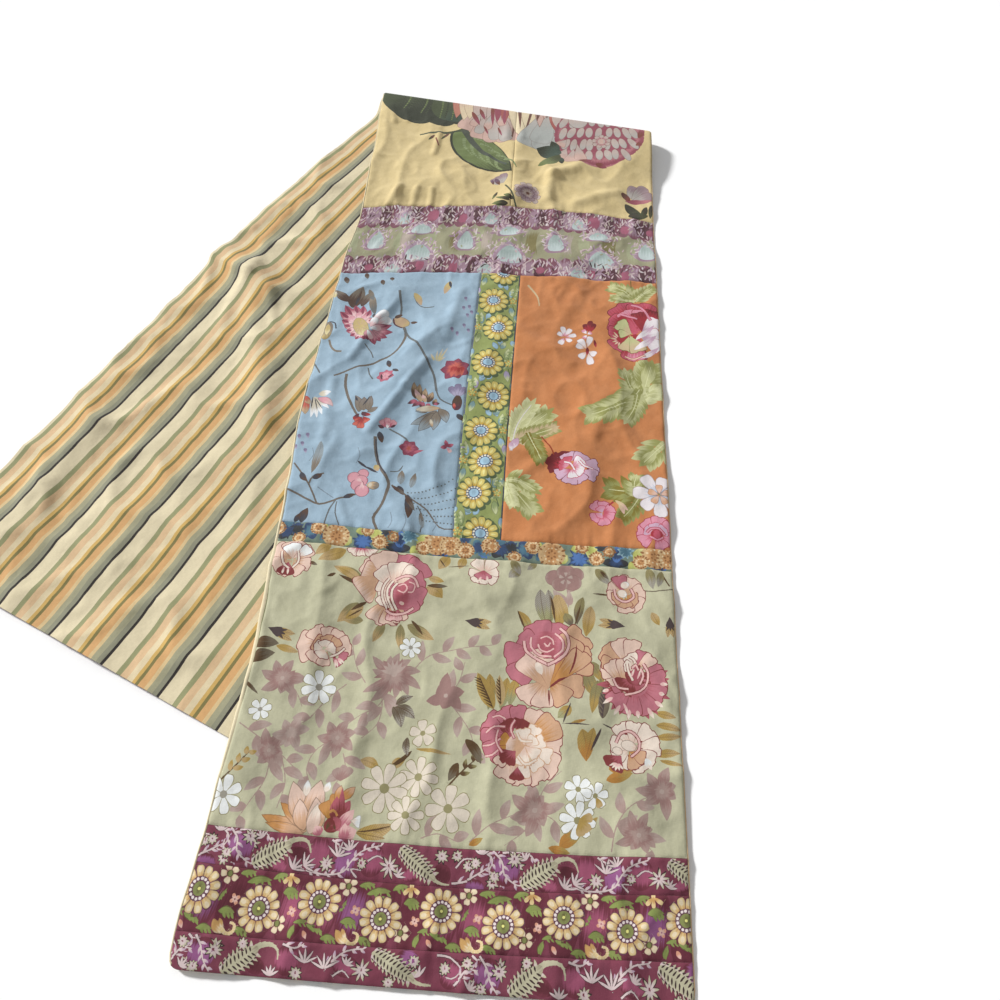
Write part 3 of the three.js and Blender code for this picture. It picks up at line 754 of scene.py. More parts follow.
    # ruffled rose, low in the middle
    lobes(p, (226, 173), "wine", "berry", (152, 29, 38, 3), (118, 27, 32, 2), (90, 27, 26), (184, 28, 32),
        (212, 27, 36))
    lobes(p, (229, 170), "peach", "blush", (62, 30, 32, 2), (-6, 33, 30, 3), (-32, 36, 30, 2),
        (-58, 34, 26, 3), (-84, 32), (-112, 31, 32), (-134, 25, 20, 2), turn=0.6)
    lobes(p, (229, 170), "orange", "peach", (30, 34, 36, 2), turn=0.7)
    lobes(p, (224, 172), "wine", "dark", (70, 18, 40, 2), (120, 17))
    lobes(p, (224, 168), "orange", "amber", (160, 12, 60, 2), (220, 12, 50))
    p.dot((230, 166), 12, "peach", "blush")
    lobes(p, (233, 166), "blush", "cream", (64, 20, 30, 3), (26, 17, 34), (-14, 22, 30), (-50, 19, 34),
        (-92, 22, 30), turn=0.4, edge="peach")
    lobes(p, (233, 168), "blush", "cream", (100, 14, 50, 3), (40, 11, 50, 2), (-34, 13, 44, 3),
        (-96, 15, 40, 2), turn=0.5, edge="peach")
    folds(p, 1.5, "cream", [(226, 178), (230, 172), (238, 172)], [(228, 160), (234, 154), (242, 158)],
        edge="peach")
    lobes(p, (226, 164), "wine", "dark", (205, 14, 40, 3), (250, 12, 30, 2))
    lobes(p, (228, 152), "wine", "dark", (270, 10, 60, 3))
    folds(p, 1.2, "pink", [(202, 176), (208, 181), (216, 182)], [(200, 166), (207, 167), (213, 172)],
        [(224, 188), (221, 181), (224, 174)], [(211, 179), (210, 170), (215, 162)],
        [(206, 188), (211, 190), (216, 188)], [(203, 158), (208, 159), (212, 163)], edge="wine")

    # round rose, low right
    lobes(p, (316, 171), "blush", "cream", (118, 21, 38, 3), (80, 21), (44, 23, 36), (6, 23, 38),
        (-30, 21, 36, 2), (-66, 21, 38), (-102, 19), (214, 17, 40), (172, 17, 44), turn=0.4)
    lobes(p, (314, 168), "orange", "peach", (-66, 15, 50, 2), (-24, 14, 44), turn=0.4)
    lobes(p, (308, 164), "wine", "dark", (228, 14, 74, 3))
    folds(p, 1.7, "pink", [(304, 174), (308, 182), (316, 184), (322, 178), (322, 170), (316, 164)])
    p.lay("round", "cream", "blush", (308, 174, 320, 171, 9), (301, 169, 309, 166, 7), rim=0.7, turn=0.8)
    p.fringe((305, 158), 1, 7, 200, 130, 5, 2, "pink", "cream")
    p.leaves("white", "cream", (327, 163, 331, 154, 6))

    # lily and its buds at the lower edge
    p.leaves("peach", "orange", (76, 94, 40, 102, 11, 1), (76, 96, 52, 112, 10), (74, 92, 44, 97, 8),
        rim=0.5)
    p.leaves("peach", "blush", (74, 98, 58, 128, 15, 1), (76, 100, 79, 131, 16), (74, 94, 66, 116, 12, 1),
        (80, 92, 78, 118, 14, -2), rim=0.75, turn=0.5)
    p.leaves("cream", "white", (70, 118, 69, 130, 6), (84, 122, 86, 130), rim=0.3)
    p.leaves("blush", "cream", (78, 92, 80, 114, 10, -1), rim=0.5)
    p.lay("fan", "amber", "orange", (94, 100, 86, 116, 13), (96, 100, 94, 122, 12), rim=0.4)
    p.leaves("orange", "peach", (98, 118, 106, 128, 7), (94, 116, 96, 128), rim=0.6)
    p.leaves("dark", "wine", (98, 100, 94, 120, 10, 1), (98, 104, 104, 118, 8), (100, 100, 97, 126, 5))
    p.leaves("berry", "pink", (98, 96, 108, 112, 9), (100, 92, 112, 98, 12), (86, 92, 82, 98, 8),
        (104, 90, 103, 102, 7))
    p.lay("round", "dark", "wine", (88, 97, 100, 103, 11), rim=0.3)
    p.leaves("dark", "brown", (93, 106, 90, 96, 3), (93, 104, 97, 96, 2))
    p.stem([(90, 108), (93, 110), (96, 107)], 1.6, "orange")
    p.lay("fan", "cream", "white", (106, 104, 114, 104, 9), rim=0.5)

    # white and cream daisies
    for base, heart, rows in (("white", "grey", (((62, 201), 14, 7, 100), ((133, 242), 9, 7, 80),
            ((19, 178), 9, 6, 80), ((8, 113), 14, 7, 30))), ("petal", "heart",
            (((152, 172), 10.5, 5, 100), ((153, 139), 15, 8, 85), ((128, 129), 18, 8, 80),
            ((147, 111), 13.5, 8, 95), ((178, 118), 17, 7, 85))), ("white", "heart",
            (((288, 133), 9.5, 6, 70), ((275, 137), 10.5, 6, 100), ((275, 115), 13.5, 8, 80)))):
        for at, radius, petals, turn in rows:
            paleFlower(p, at, radius, petals, base, heart, turn)
    p.petals("gold", "tan", (276, 115, 286, 118, 7), (276, 115, 284, 108), (276, 114, 278, 104),
        (289, 132, 292, 125, 5))

    # round rose at the top right
    lobes(p, (313, 304), "peach", "blush", (150, 16, 50, 2), (105, 19, 44), (60, 18, 46), (12, 18, 48),
        (-38, 19), (-85, 18, 44), (200, 15, 50))
    lobes(p, (312, 305), "wine", "berry", (104, 17, 44, 3))
    lobes(p, (313, 302), "orange", "peach", (-20, 12, 70, 2), (-90, 11), (200, 11, 60), turn=0.5)
    folds(p, 1.8, "pink", [(304, 308), (306, 300), (314, 297), (321, 302), (319, 309)])
    p.lay("round", "cream", "white", (307, 306, 315, 303, 8), (310, 311, 317, 315, 7), rim=0.5, turn=0.8)

    for at, toward, size in (((20, 244), 165, 15), ((187, 268), 170, 14), ((303, 274), -8, 14),
            ((351, 276), 90, 12)):
        bud(p, at, toward, size)
    return p


# Pale blue ground with trailing stems
blueColours = {"bark": (116, 108, 100), "barkLight": (142, 134, 128), "slate": (108, 112, 114),
    "umber": (92, 72, 62), "taupe": (134, 124, 112), "tan": (194, 168, 138), "gold": (196, 176, 124),
    "paleGold": (212, 202, 158), "wine": (142, 72, 92), "rose": (186, 104, 124), "pink": (218, 160, 172),
    "blush": (232, 196, 200), "white": (232, 236, 242), "cream": (212, 204, 186), "red": (164, 62, 62),
    "salmon": (198, 104, 92), "lavender": (172, 168, 196), "violet": (134, 126, 156),
    "grey": (150, 162, 170), "shade": (134, 150, 166), "ink": (72, 72, 80), "plum": (92, 60, 70)}


def star(p, at, radius, petals, base, tip, start=90):
    p.ring(at, 0, radius, petals, radius * 0.84, base, tip, "leaf", 0.45, 0.3, start, uneven=0.3)


def bluePrint():
    p = Print(blueColours, 23)
    # long stems
    for wide, endWide, tone, *points in ((2.7, 2.0, "slate", (72, 651), (74, 640), (77, 628), (78, 616)),
            (2.9, 2.0, "bark", (84, 599), (88, 586), (84, 568), (76, 555), (62, 545), (44, 538), (25, 527)),
            (2.4, 2.4, "slate", (84, 597), (92, 584), (106, 567), (116, 549), (124, 534), (129, 514)),
            (1.6, 1.6, "slate", (129, 514), (134, 504), (146, 498)), (3.0, 2.2, "bark", (37, 530), (38, 516),
            (45, 497), (54, 480), (58, 474)), (3.2, 2.6, "bark", (77, 451), (79, 436), (83, 422), (90, 410),
            (95, 399), (94, 386), (90, 373), (85, 362), (90, 350)), (1.3, 1.3, "ink", (78, 448), (80, 434),
            (84, 421), (91, 410)), (1.8, 1.8, "slate", (89, 462), (99, 457), (108, 449)),
            (2.0, 2.0, "bark", (0, 384), (12, 380), (22, 375), (34, 371), (46, 376), (56, 381), (65, 385)),
            (1.7, 1.7, "bark", (31, 372), (23, 388), (14, 402), (4, 415)),
            (1.5, 1.5, "bark", (21, 392), (24, 400), (33, 405)), (1.4, 1.4, "slate", (49, 377), (44, 366),
            (42, 350)), (1.2, 1.2, "slate", (50, 375), (50, 363), (55, 351)),
            (1.0, 1.0, "shade", (46, 379), (38, 384), (30, 389)), (1.2, 1.2, "slate", (95, 413), (103, 415),
            (106, 421)), (2.0, 1.2, "bark", (98, 398), (108, 391), (120, 383), (133, 375), (146, 359),
            (158, 358)), (1.2, 1.2, "slate", (124, 378), (130, 366), (129, 352)),
            (1.6, 1.6, "slate", (0, 545), (6, 536), (10, 529)), (1.4, 1.4, "slate", (57, 539), (60, 530),
            (64, 524)), (1.2, 1.2, "slate", (48, 570), (56, 560), (60, 552)),
            (2.2, 2.2, "taupe", (10, 576), (14, 566), (20, 559), (26, 558)),
            (1.4, 1.4, "ink", (4, 604), (11, 601), (14, 592)), (1.2, 1.2, "slate", (88, 646), (94, 634),
            (102, 629), (112, 630))):
        p.stem(points, wide, tone, endWide=endWide)
    for u, v in ((100, 352), (113, 350), (140, 354), (62, 420), (18, 418)):
        p.stem([(u, v), (u + 3, v + 8), (u + 1, v + 16)], 0.8, "shade")

    # dark leaves
    p.leaves("umber", "taupe", (24, 626, 31, 657, 17, 1), (34, 628, 40, 650, 10), (20, 635, 1, 652, 10, 1),
        veins=0.6)
    p.leaves("taupe", "slate", (43, 646, 52, 612, 8, -1), (38, 654, 46, 636, 6))
    p.leaves("ink", "umber", (27, 630, 30, 652, 3), (50, 614, 53, 604, 4), (80, 457, 84, 445, 6),
        (20, 350, 24, 366, 9, 1), (14, 350, 18, 360, 5), (55, 380, 65, 386), (12, 405, 19, 394, 6, -1),
        (24, 398, 32, 404), (104, 398, 110, 388), (114, 389, 117, 362, 8, 1), (68, 476, 60, 480, 4),
        (76, 548, 80, 538, 5), (83, 535, 90, 531, 4), (152, 486, 160, 478, 6))
    p.leaves("grey", "taupe", (27, 441, 22, 404, 9, 1), (106, 400, 106, 416, 7), (116, 397, 119, 414, 6),
        (131, 356, 127, 372, 5), veins=0.35)
    p.leaves("umber", "bark", (8, 676, 12, 664, 6), (30, 682, 33, 672, 5), (50, 668, 53, 660),
        (60, 674, 61, 668))
    p.leaves("gold", "tan", (88, 650, 98, 632, 7, 1), (126, 668, 121, 650, 8), (80, 420, 84, 413, 6))
    p.leaves("ink", None, (125, 668, 128, 658, 3), (63, 423, 74, 415, 2.4), (72, 417, 84, 411, 2.6))
    p.leaves("paleGold", "cream", (122, 552, 118, 560, 3), (124, 552, 124, 566, 2), (125, 552, 129, 570),
        (126, 552, 134, 572), (126, 552, 133, 560), (3, 640, 2, 650, 4))
    p.lay("round", "taupe", "gold", (3, 604, 5, 576, 14), turn=0.75, rim=0.5)
    p.leaves("gold", "paleGold", (4, 600, 6, 582, 6))

    # open flower with a gold heart, and the pink one beside it
    for u, v, toU, toV, wide in ((34, 606, 27, 630, 11), (38, 606, 36, 629, 10), (42, 602, 45, 621, 9),
            (32, 606, 16, 629, 11), (30, 604, 13, 618, 11), (30, 600, 17, 606, 10), (32, 594, 21, 598, 9),
            (34, 590, 25, 589, 9), (38, 586, 31, 581, 9), (42, 582, 38, 575, 8), (46, 582, 46, 574, 8),
            (44, 600, 53, 604, 10)):
        p.leaves("blush", "rose", (u, v, toU, toV, wide), rim=0.5, turn=0.5)
        p.leaves("wine", None, ((2 * u + toU) / 3, (2 * v + toV) / 3, toU, toV, wide * 0.34))
    p.petals("blush", "pink", (32, 600, 25, 612, 8), (36, 604, 33, 618, 7), (42, 600, 40, 612, 6), rim=0.3)
    p.lay("round", "gold", "paleGold", (33, 608, 47, 580, 15), rim=0.35, turn=0.7)
    p.ring((40, 594), 2, 9, 9, 1.3, "tan", shape="lance", squash=1.5)
    p.petals("blush", "white", (52, 592, 62, 619, 12), (54, 594, 68, 610, 11), (50, 592, 54, 606, 8),
        rim=0.3)
    p.leaves("pink", "wine", (52, 592, 71, 601, 9), (52, 590, 74, 591), (52, 588, 69, 583),
        (52, 588, 63, 577, 8), (50, 588, 58, 571, 9), (48, 588, 50, 575, 7), rim=0.5, turn=0.55)
    p.petals("white", "blush", (50, 590, 60, 596, 6), (48, 588, 53, 578, 5))

    # buds and small flowers
    p.lay("round", "tan", "gold", (71, 610, 89, 602, 14), rim=0.7, turn=0.8)
    p.leaves("umber", None, (72, 612, 80, 617, 5), (90, 606, 98, 606, 4))
    p.stem([(71, 611), (74, 602), (82, 598)], 1.6, "plum")
    star(p, (77, 527), 9, 7, "pink", "rose")
    p.leaves("plum", None, (72, 530, 74, 522, 2.4), (80, 524, 85, 527))
    star(p, (145, 543), 15, 7, "salmon", "wine", 80)
    p.petals("salmon", "red", (142, 532, 144, 546, 7), (146, 532, 150, 544), (152, 534, 152, 546, 5))
    for at in ((145, 640), (144, 627), (150, 629), (153, 622), (149, 617), (135, 594), (141, 590),
            (147, 602), (152, 596), (4, 446), (12, 448), (8, 438), (2, 434), (142, 517), (151, 520),
            (156, 512), (12, 430)):
        p.lay("drop", "violet", "lavender", (at[0], at[1] + 3, at[0] + 1.5, at[1] - 3, 3.4))
    p.petals("lavender", "violet", (151, 506, 142, 520, 7), (151, 506, 150, 523), (151, 506, 158, 519),
        rim=0.3)
    p.lay("round", "umber", "plum", (151, 509, 151, 491, 10), rim=0.4)
    p.leaves("salmon", "red", (148, 500, 149, 493, 3))

    # seed pod, red bud, star flowers
    p.leaves("taupe", "barkLight", (58, 480, 51, 501, 9, -2), (62, 482, 60, 499, 10), (66, 482, 67, 500, 8),
        (66, 480, 76, 486, 6), rim=0.6, veins=0.3)
    p.leaves("ink", None, (54, 494, 51, 500, 2), (60, 488, 66, 500, 1.6))
    p.lay("fan", "red", "salmon", (62, 474, 54, 470, 8), (62, 474, 57, 462, 9), (62, 474, 62, 459, 8),
        (62, 475, 68, 467), rim=0.7, turn=0.6)
    p.leaves("plum", "red", (60, 478, 70, 476, 5), (58, 478, 53, 470, 4))
    p.petals("rose", "pink", (87, 463, 80, 470, 7), (87, 463, 86, 474), (87, 463, 94, 472), rim=0.4)
    p.petals("white", "pink", (87, 462, 87, 469, 4))
    p.leaves("plum", None, (84, 462, 78, 464, 4), (90, 464, 95, 468, 2.4))
    star(p, (110, 441), 9.5, 6, "rose", "wine", 60)
    star(p, (110, 441), 4.5, 5, "salmon", "rose")
    p.leaves("wine", "rose", (108, 434, 124, 440, 4), (146, 445, 144, 452), (146, 445, 152, 449),
        (146, 445, 140, 443))
    p.petals("pink", "blush", (146, 444, 150, 440, 4))

    # blossom on the main stem
    for at, radius in (((70, 409), 5.5), ((62, 404), 6.5), ((69, 401), 6.5), ((66, 396), 6.5),
            ((71, 390), 7)):
        p.dot(at, radius, "pink", "rose", rim=0.75, turn=0.85)
    p.petals("blush", "pink", (70, 400, 62, 405, 5), (70, 400, 71, 388))
    p.lay("round", "tan", "taupe", (75, 397, 87, 396, 9), rim=0.8)
    p.dot((78, 397), 3, "cream", "tan")

    # hanging lily
    p.leaves("umber", "tan", (110, 500, 106, 520, 7), (114, 498, 112, 520, 8, 1), (118, 498, 118, 516, 7),
        (122, 498, 126, 512), (128, 496, 130, 504, 5), rim=0.5, veins=0.3)
    p.leaves("tan", "blush", (116, 498, 108, 512, 6), (120, 498, 116, 508, 5))
    p.leaves("rose", "plum", (112, 498, 103, 494, 5), (116, 498, 108, 490), (118, 498, 116, 490, 6),
        (124, 497, 122, 491, 5), (128, 497, 134, 499, 4), rim=0.4)
    p.leaves("taupe", "grey", (132, 489, 109, 468, 11, 3), (130, 486, 117, 461, 12, 1),
        (133, 488, 131, 464, 10), (134, 492, 143, 474, 10, 2), (124, 488, 112, 484, 6), rim=0.9, veins=0.25)
    p.leaves("cream", "tan", (112, 486, 136, 493, 8, 1), (127, 478, 130, 468, 4), rim=0.5)

    # pale lily at the left edge
    p.leaves("salmon", "tan", (2, 494, 6, 474, 9), (0, 498, 8, 488, 7), rim=0.4)
    p.leaves("cream", "white", (9, 497, 12, 470, 5, 1), (9, 497, 18, 470, 5, 1), (10, 497, 23, 474, 5, 1),
        (10, 498, 28, 482, 5, 1), (14, 502, 26, 505, 8))
    p.leaves("pink", "blush", (14, 497, 31, 486, 8, 2), rim=0.5)
    p.leaves("ink", None, (9, 498, 10, 482, 1.4), (11, 497, 17, 480, 1.0), (12, 496, 22, 482))

    # fern with beaded fronds
    p.leaves("umber", "bark", (112, 388, 122, 372, 5), (98, 397, 112, 389, 4), veins=0.3)
    for row in range(6):
        for i in range(13):
            t = i / 12
            p.dot((114 + 8 * row * 0.4 + 40 * t, 391 - 5.4 * row + (20 - 4.5 * row) * t * t), 0.75, "slate")
    return p


# Orange ground with roses and vine leaves
orangeColours = {"crimson": (164, 52, 62), "rose": (196, 92, 112), "pink": (220, 150, 172),
    "lilac": (206, 172, 196), "white": (238, 232, 238), "blue": (188, 202, 224), "blush": (232, 196, 180),
    "cream": (206, 186, 150), "pale": (196, 198, 148), "mint": (216, 218, 172), "green": (152, 154, 94),
    "olive": (134, 124, 56), "moss": (110, 104, 56), "glow": (224, 176, 144), "rust": (150, 66, 40),
    "dark": (112, 40, 44)}


def vineLeaf(p, points, wide, base, tip, rib="pale"):
    # a long toothed leaf: lobes on both sides of the rib, one at the end, then the rib
    p.sprig(points, 1.2, rib, tip, base, wide * 0.8, wide * 0.3, wide * 0.28, 44, start=0.04, both=True)
    p.stem(points, wide * 0.3, base, tip, wide * 0.16)
    before, last = points[-2:]
    p.mark(before, tuple(l + (l - b) * 0.4 for b, l in zip(before, last)), wide * 0.4, "leaf", base, tip)
    p.stem(points, 1.0, rib, endWide=0.6, step=3)


def orangePrint():
    p = Print(orangeColours, 31)
    p.stem([(212, 668), (219, 658), (224, 648), (226, 636)], 2.4, "cream", endWide=1.2)
    p.stem([(331, 650), (327, 664), (326, 682)], 1.0, "moss")
    for points, wide, base, tip in (([(330, 652), (320, 664), (306, 672)], 20, "green", "pale"),
            ([(330, 652), (340, 664), (350, 674)], 18, "pale", "green"),
            ([(330, 652), (318, 652), (306, 654)], 15, "pale", "green"),
            ([(330, 516), (338, 534), (344, 560)], 36, "pale", "green"),
            ([(330, 516), (340, 524), (352, 526)], 22, "pale", "mint"), ([(331, 518), (322, 534),
            (318, 550)], 20, "green", "pale"), ([(332, 530), (322, 516), (300, 500), (284, 494)], 30,
            "green", "pale"), ([(330, 524), (326, 506), (318, 490)], 22, "green", "pale"),
            ([(208, 456), (222, 476), (240, 494)], 26, "pale", "green"),
            ([(208, 458), (212, 480), (224, 504)], 22, "mint", "pale"), ([(210, 456), (228, 468),
            (246, 476)], 20, "green", "cream"), ([(222, 470), (230, 452), (236, 438)], 18, "olive", "green"),
            ([(204, 414), (214, 402), (228, 384)], 26, "green", "pale"),
            ([(204, 414), (216, 414), (232, 404)], 18, "pale", "green"),
            ([(204, 412), (208, 400), (212, 388)], 14, "pale", "mint"), ([(356, 466), (346, 456),
            (334, 442)], 28, "pale", "green"), ([(328, 402), (316, 408), (300, 410)], 28, "olive", "green"),
            ([(328, 402), (324, 414), (326, 424)], 18, "green", "pale"),
            ([(328, 402), (322, 392), (314, 382)], 20, "green", "olive"),
            ([(330, 404), (340, 410), (352, 416)], 18, "green", "olive")):
        vineLeaf(p, points, wide, base, tip, "mint" if base != "mint" else "white")
    p.leaves("lilac", "white", (213, 462, 206, 446, 8), (206, 456, 208, 446, 5), rim=0.3)
    p.leaves("cream", "blush", (310, 396, 314, 384, 5), (306, 398, 318, 388, 4))

    # full rose
    lobes(p, (332, 606), "crimson", "rose", (118, 44, 40, 2), (82, 44), (154, 34, 42), (190, 31, 40),
        (226, 36), (262, 40, 36), turn=0.85)
    lobes(p, (334, 604), "rose", "pink", (116, 36, 34, 2), (84, 37, 30), (262, 38, 26), turn=0.8,
        edge="crimson")
    lobes(p, (338, 602), "crimson", "dark", (66, 40, 36, 2), (96, 34, 30), turn=0.9)
    lobes(p, (334, 604), "rose", "crimson", (138, 30, 34, 2), (170, 24, 30), turn=0.7, edge="crimson")
    lobes(p, (326, 604), "cream", "pale", (135, 21, 44, 2), (180, 14, 40), edge="moss")
    lobes(p, (324, 602), "pale", "cream", (258, 23, 44, 3), (292, 25, 40), edge="moss")
    lobes(p, (334, 600), "lilac", "white", (52, 34, 30, 2), (18, 24, 36), (-30, 26, 40), edge="rose")
    p.leaves("white", "lilac", (328, 582, 352, 604, 7, -1), (334, 570, 354, 588, 6, -1),
        (330, 596, 350, 618, 6, -1))
    folds(p, 2.4, "pink", [(314, 630), (322, 627), (331, 625)], [(326, 646), (336, 643), (342, 634),
        (346, 626)], edge="crimson")
    folds(p, 1.8, "blush", [(318, 572), (328, 569), (338, 574)], edge="crimson")
    p.ring((314, 596), 4, 11, 6, 2.0, "blush", "cream", "leaf", start=130, sweep=150, uneven=0.3)

    # small flowers
    p.petals("pink", "white", (255, 596, 252, 609, 6), (255, 596, 261, 607), (256, 595, 267, 599),
        (255, 594, 262, 588), (254, 594, 250, 583, 7), (254, 596, 247, 600, 6), rim=0.35, turn=0.3)
    p.petals("crimson", "dark", (278, 602, 276, 614, 6), (280, 602, 282, 618), (282, 602, 286, 614), rim=0.3)
    p.petals("white", "pink", (278, 600, 274, 606, 5), (279, 599, 283, 602), (278, 598, 275, 593), rim=0.3)
    p.petals("blush", "white", (278, 580, 270, 592, 8), (279, 582, 282, 596, 7), (276, 580, 267, 584),
        (278, 576, 271, 568, 8), (280, 577, 288, 572), (280, 575, 283, 559), rim=0.5, turn=0.3)
    p.leaves("dark", "crimson", (279, 582, 279, 572, 3.6), (286, 592, 288, 582, 3))

    # peony and the two pink ones
    lobes(p, (257, 431), "crimson", "dark", (140, 17, 50, 3), (95, 16, 50, 2), (185, 14, 40))
    lobes(p, (267, 428), "rose", "lilac", (108, 19, 50, 3), (60, 19), (14, 24, 36), (-20, 23, 34),
        (-58, 17, 44), (-104, 17, 50), (200, 18, 40), turn=0.4)
    lobes(p, (266, 430), "pink", "white", (-80, 12, 60, 3), (-30, 12, 50, 2), (40, 12, 60, 3), edge="rose")
    lobes(p, (262, 431), "pink", "rose", (170, 9, 60, 2), (110, 10, 70), edge="crimson")
    folds(p, 1.4, "white", [(258, 436), (264, 434), (268, 427)], [(272, 436), (277, 430), (284, 428)],
        edge="rose")
    p.stem([(248, 444), (245, 452), (240, 460), (236, 466)], 1.4, "rust")
    lobes(p, (294, 384), "rose", "pink", (136, 13, 50, 3), (84, 12, 50, 2), (28, 12), (-30, 12),
        (-80, 13, 50, 3), (218, 12, 50, 2), edge="crimson")
    lobes(p, (294, 384), "lilac", "pink", (110, 7, 70, 2), (230, 6), edge="rose")
    p.stem([(300, 392), (304, 396)], 1.6, "crimson")
    p.ring((346, 406), 1, 22, 7, 13, "blue", "white", "petal", 0.35, 0.6, start=70, uneven=0.5)
    p.ring((347, 406), 1, 11, 5, 7, "blush", "glow", "petal", rim=0.5)
    lobes(p, (342, 365), "rose", "pink", (168, 17, 46, 3), (122, 17, 46, 2), (76, 18, 46, 3),
        (28, 18, 46, 2), (-20, 16), (-66, 16), (214, 17, 46, 3), edge="crimson")
    lobes(p, (342, 365), "pink", "lilac", (150, 11, 60, 2), (90, 11), (30, 11), edge="rose")
    p.dot((343, 364), 5.5, "rose", "crimson")
    folds(p, 1.6, "pink", [(334, 366), (338, 370), (345, 370), (350, 365)],
        [(337, 362), (343, 359), (348, 362)], edge="crimson")
    return p


# Green strip with a column of daisies
stripColours = {"yellow": (214, 198, 116), "gold": (206, 166, 74), "lemon": (228, 220, 150),
    "core": (166, 202, 226), "dots": (238, 236, 220), "navy": (84, 92, 120), "teal": (128, 158, 160),
    "blue": (150, 182, 204), "leaf": (136, 152, 104), "deep": (88, 104, 74), "pale": (198, 206, 160),
    "lilac": (170, 160, 190), "amber": (196, 150, 70), "sprig": (214, 208, 128)}


def stripPrint():
    p = Print(stripColours, 41)
    # dark strokes along both edges of the strip: painted shade of the seam valleys, drawn in the print's
    # navy
    for edge in (stripLeft + 0.7, stripRight - 0.7):
        p.lay("stroke", "navy", None, *((edge, v, edge, v + 9, 1.1) for v in range(344, 690, 8)))
    places = ((176, 640), (184, 602), (177, 553), (186, 512), (177, 468), (183, 433), (175, 398), (184, 355),
        (184, 683))
    for i, (u, v) in enumerate(places):
        side = 1 if u > 180 else -1
        for k, (du, dv, toU, toV) in enumerate(((18, 6, 20, 22), (19, -8, 22, -22), (12, 20, 16, 30),
                (-17, 19, -20, 6), (-15, -17, -20, -26))):
            base = ("blue", "teal", "leaf", "lilac", "teal")[(i + k) % 5]
            p.mark((u - side * du, v + dv), (u - side * toU, v + toV), 6.5, "leaf", base, "pale", rim=0.6,
                veins=0.4)
        p.sprig([(u - side * 24, v - 14), (u - side * 20, v), (u - side * 22, v + 16)], 1.1, "deep", "leaf",
            "pale", 6, 3.2, 4.5, 50, both=True)
        p.ring((u - side * 21, v + 1), 0.5, 4.2, 5, 2.4, "sprig", "amber")
        p.leaves("core", "blue", (u + side * 2, v - 17, u + side * 6, v - 26, 6),
            (u - side * 8, v + 19, u - side * 3, v + 28), rim=0.6)
    for u, v in places:
        p.ring((u, v), 2, 17, 14, 5.2, "deep", shape="petal", squash=1.12)
        p.ring((u + 1.2, v - 1.4), 4, 17, 12, 7.6, "deep", shape="petal", squash=1.12)
        p.ring((u, v), 4, 16, 12, 6.6, "gold", "yellow", "petal", 0.4, 0.5, squash=1.12, uneven=0.12)
        p.ring((u, v), 9, 14, 12, 2.2, "lemon", shape="leaf", squash=1.12)
        p.dot((u, v), 7.4, "navy")
        p.dots((u, v), 6.2, 14, 0.95, "dots")
        p.dot((u, v), 4.4, "blue", "core", turn=0.4)
    return p


# Plum ground with paisleys, and the daisy band on the same cloth
plumColours = {"dark": (88, 38, 48), "deep": (106, 48, 62), "rosy": (158, 84, 112), "violet": (150, 92, 140),
    "pale": (214, 196, 198), "lilac": (196, 170, 192), "sage": (192, 188, 162), "stone": (158, 148, 128),
    "ink": (62, 46, 46), "petal": (228, 204, 154), "gold": (204, 162, 104), "cream": (236, 220, 190),
    "ring": (98, 60, 78), "bead": (238, 226, 226), "green": (132, 138, 84), "lime": (138, 152, 86),
    "moss": (98, 92, 58), "coral": (216, 158, 134), "blush": (226, 188, 178), "yellow": (226, 226, 140)}


def paisley(p, start, end, wide, tail):
    # a feathered paisley: barbs, a pale body with two rows of dark flecks, and a hooked tail
    along, side, length = axes(start, end)

    def place(x, y):
        return tuple(np.array(start) + along * length * x + side * y)

    def reachAt(x):
        return wide * 0.5 * math.sin(math.pi * (0.14 + 0.78 * x)) ** 0.6

    p.stem([place(0.8, 0), *tail], wide * 0.36, "sage", endWide=1.0, step=2.5)
    count = round(length / 3.1)
    for i in range(count):
        x = i / count
        for way in (-1, 1):
            p.mark(place(x, way), place(x + 0.1, way * (reachAt(x) + 2.2)), 2.3, "leaf", "pale", "sage")
    p.mark(place(-0.02, 0), place(1.04, 0), wide * 0.82, "round", "sage", "stone", turn=0.95)
    for i in range(count):
        x = 0.04 + 0.9 * i / count
        for way in (-1, 1):
            p.mark(place(x, way * 0.5), place(x + 1.6 / length, way * reachAt(x) * 0.8), 1.2, "leaf", "ink")
            p.mark(place(x - 0.02, way * reachAt(x) * 0.9), place(x + 0.05, way * reachAt(x) * 1.1), 0.9,
                "leaf", "ink")


def floret(p, at, radius):
    p.ring(at, 0.4, radius * 1.12, 9, 2.4, "ink", shape="leaf", uneven=0.5)
    p.ring(at, 0.4, radius, 9, 1.7, "pale", "sage", "leaf", uneven=0.6)


def curl(p, points, wide=1.4, leaves=True):
    # a scrolling branch with short leaves along it
    p.stem(points, wide + 0.8, "ink", endWide=1.0, step=3)
    if leaves:
        p.sprig(points, wide, "pale", "pale", "lilac", 6.0, 1.8, 3.4, 40, start=0.1)
    else:
        p.stem(points, wide, "pale", endWide=0.7, step=3)


def tuft(p, at, toward, reach):
    for wide, tone in ((2.4, "ink"), (1.5, "pale")):
        p.ring(at, 0, reach, 5, wide, tone, shape="leaf", start=toward - 60, sweep=150, uneven=0.1)


def plumRow(p, u, low, places):
    # one repeat of a paisley band: washes of dye, branches, tufts, paisleys and florets
    def at(*spots):
        return [(u + across, low + along) for across, along in spots]

    for start, end, wide, tone in places["wash"]:
        p.mark(*at(start, end), wide, "round", tone, "deep", turn=-0.6)
    for route in places["curl"]:
        curl(p, at(*route))
    for route in places["loop"]:
        curl(p, at(*route), 1.3, False)
    for spot, toward, reach in places["tuft"]:
        tuft(p, *at(spot), toward, reach)
    for start, end, wide, tail in places["paisley"]:
        paisley(p, *at(start, end), wide, at(*tail))
    for spot, radius in places["floret"]:
        floret(p, *at(spot), radius)


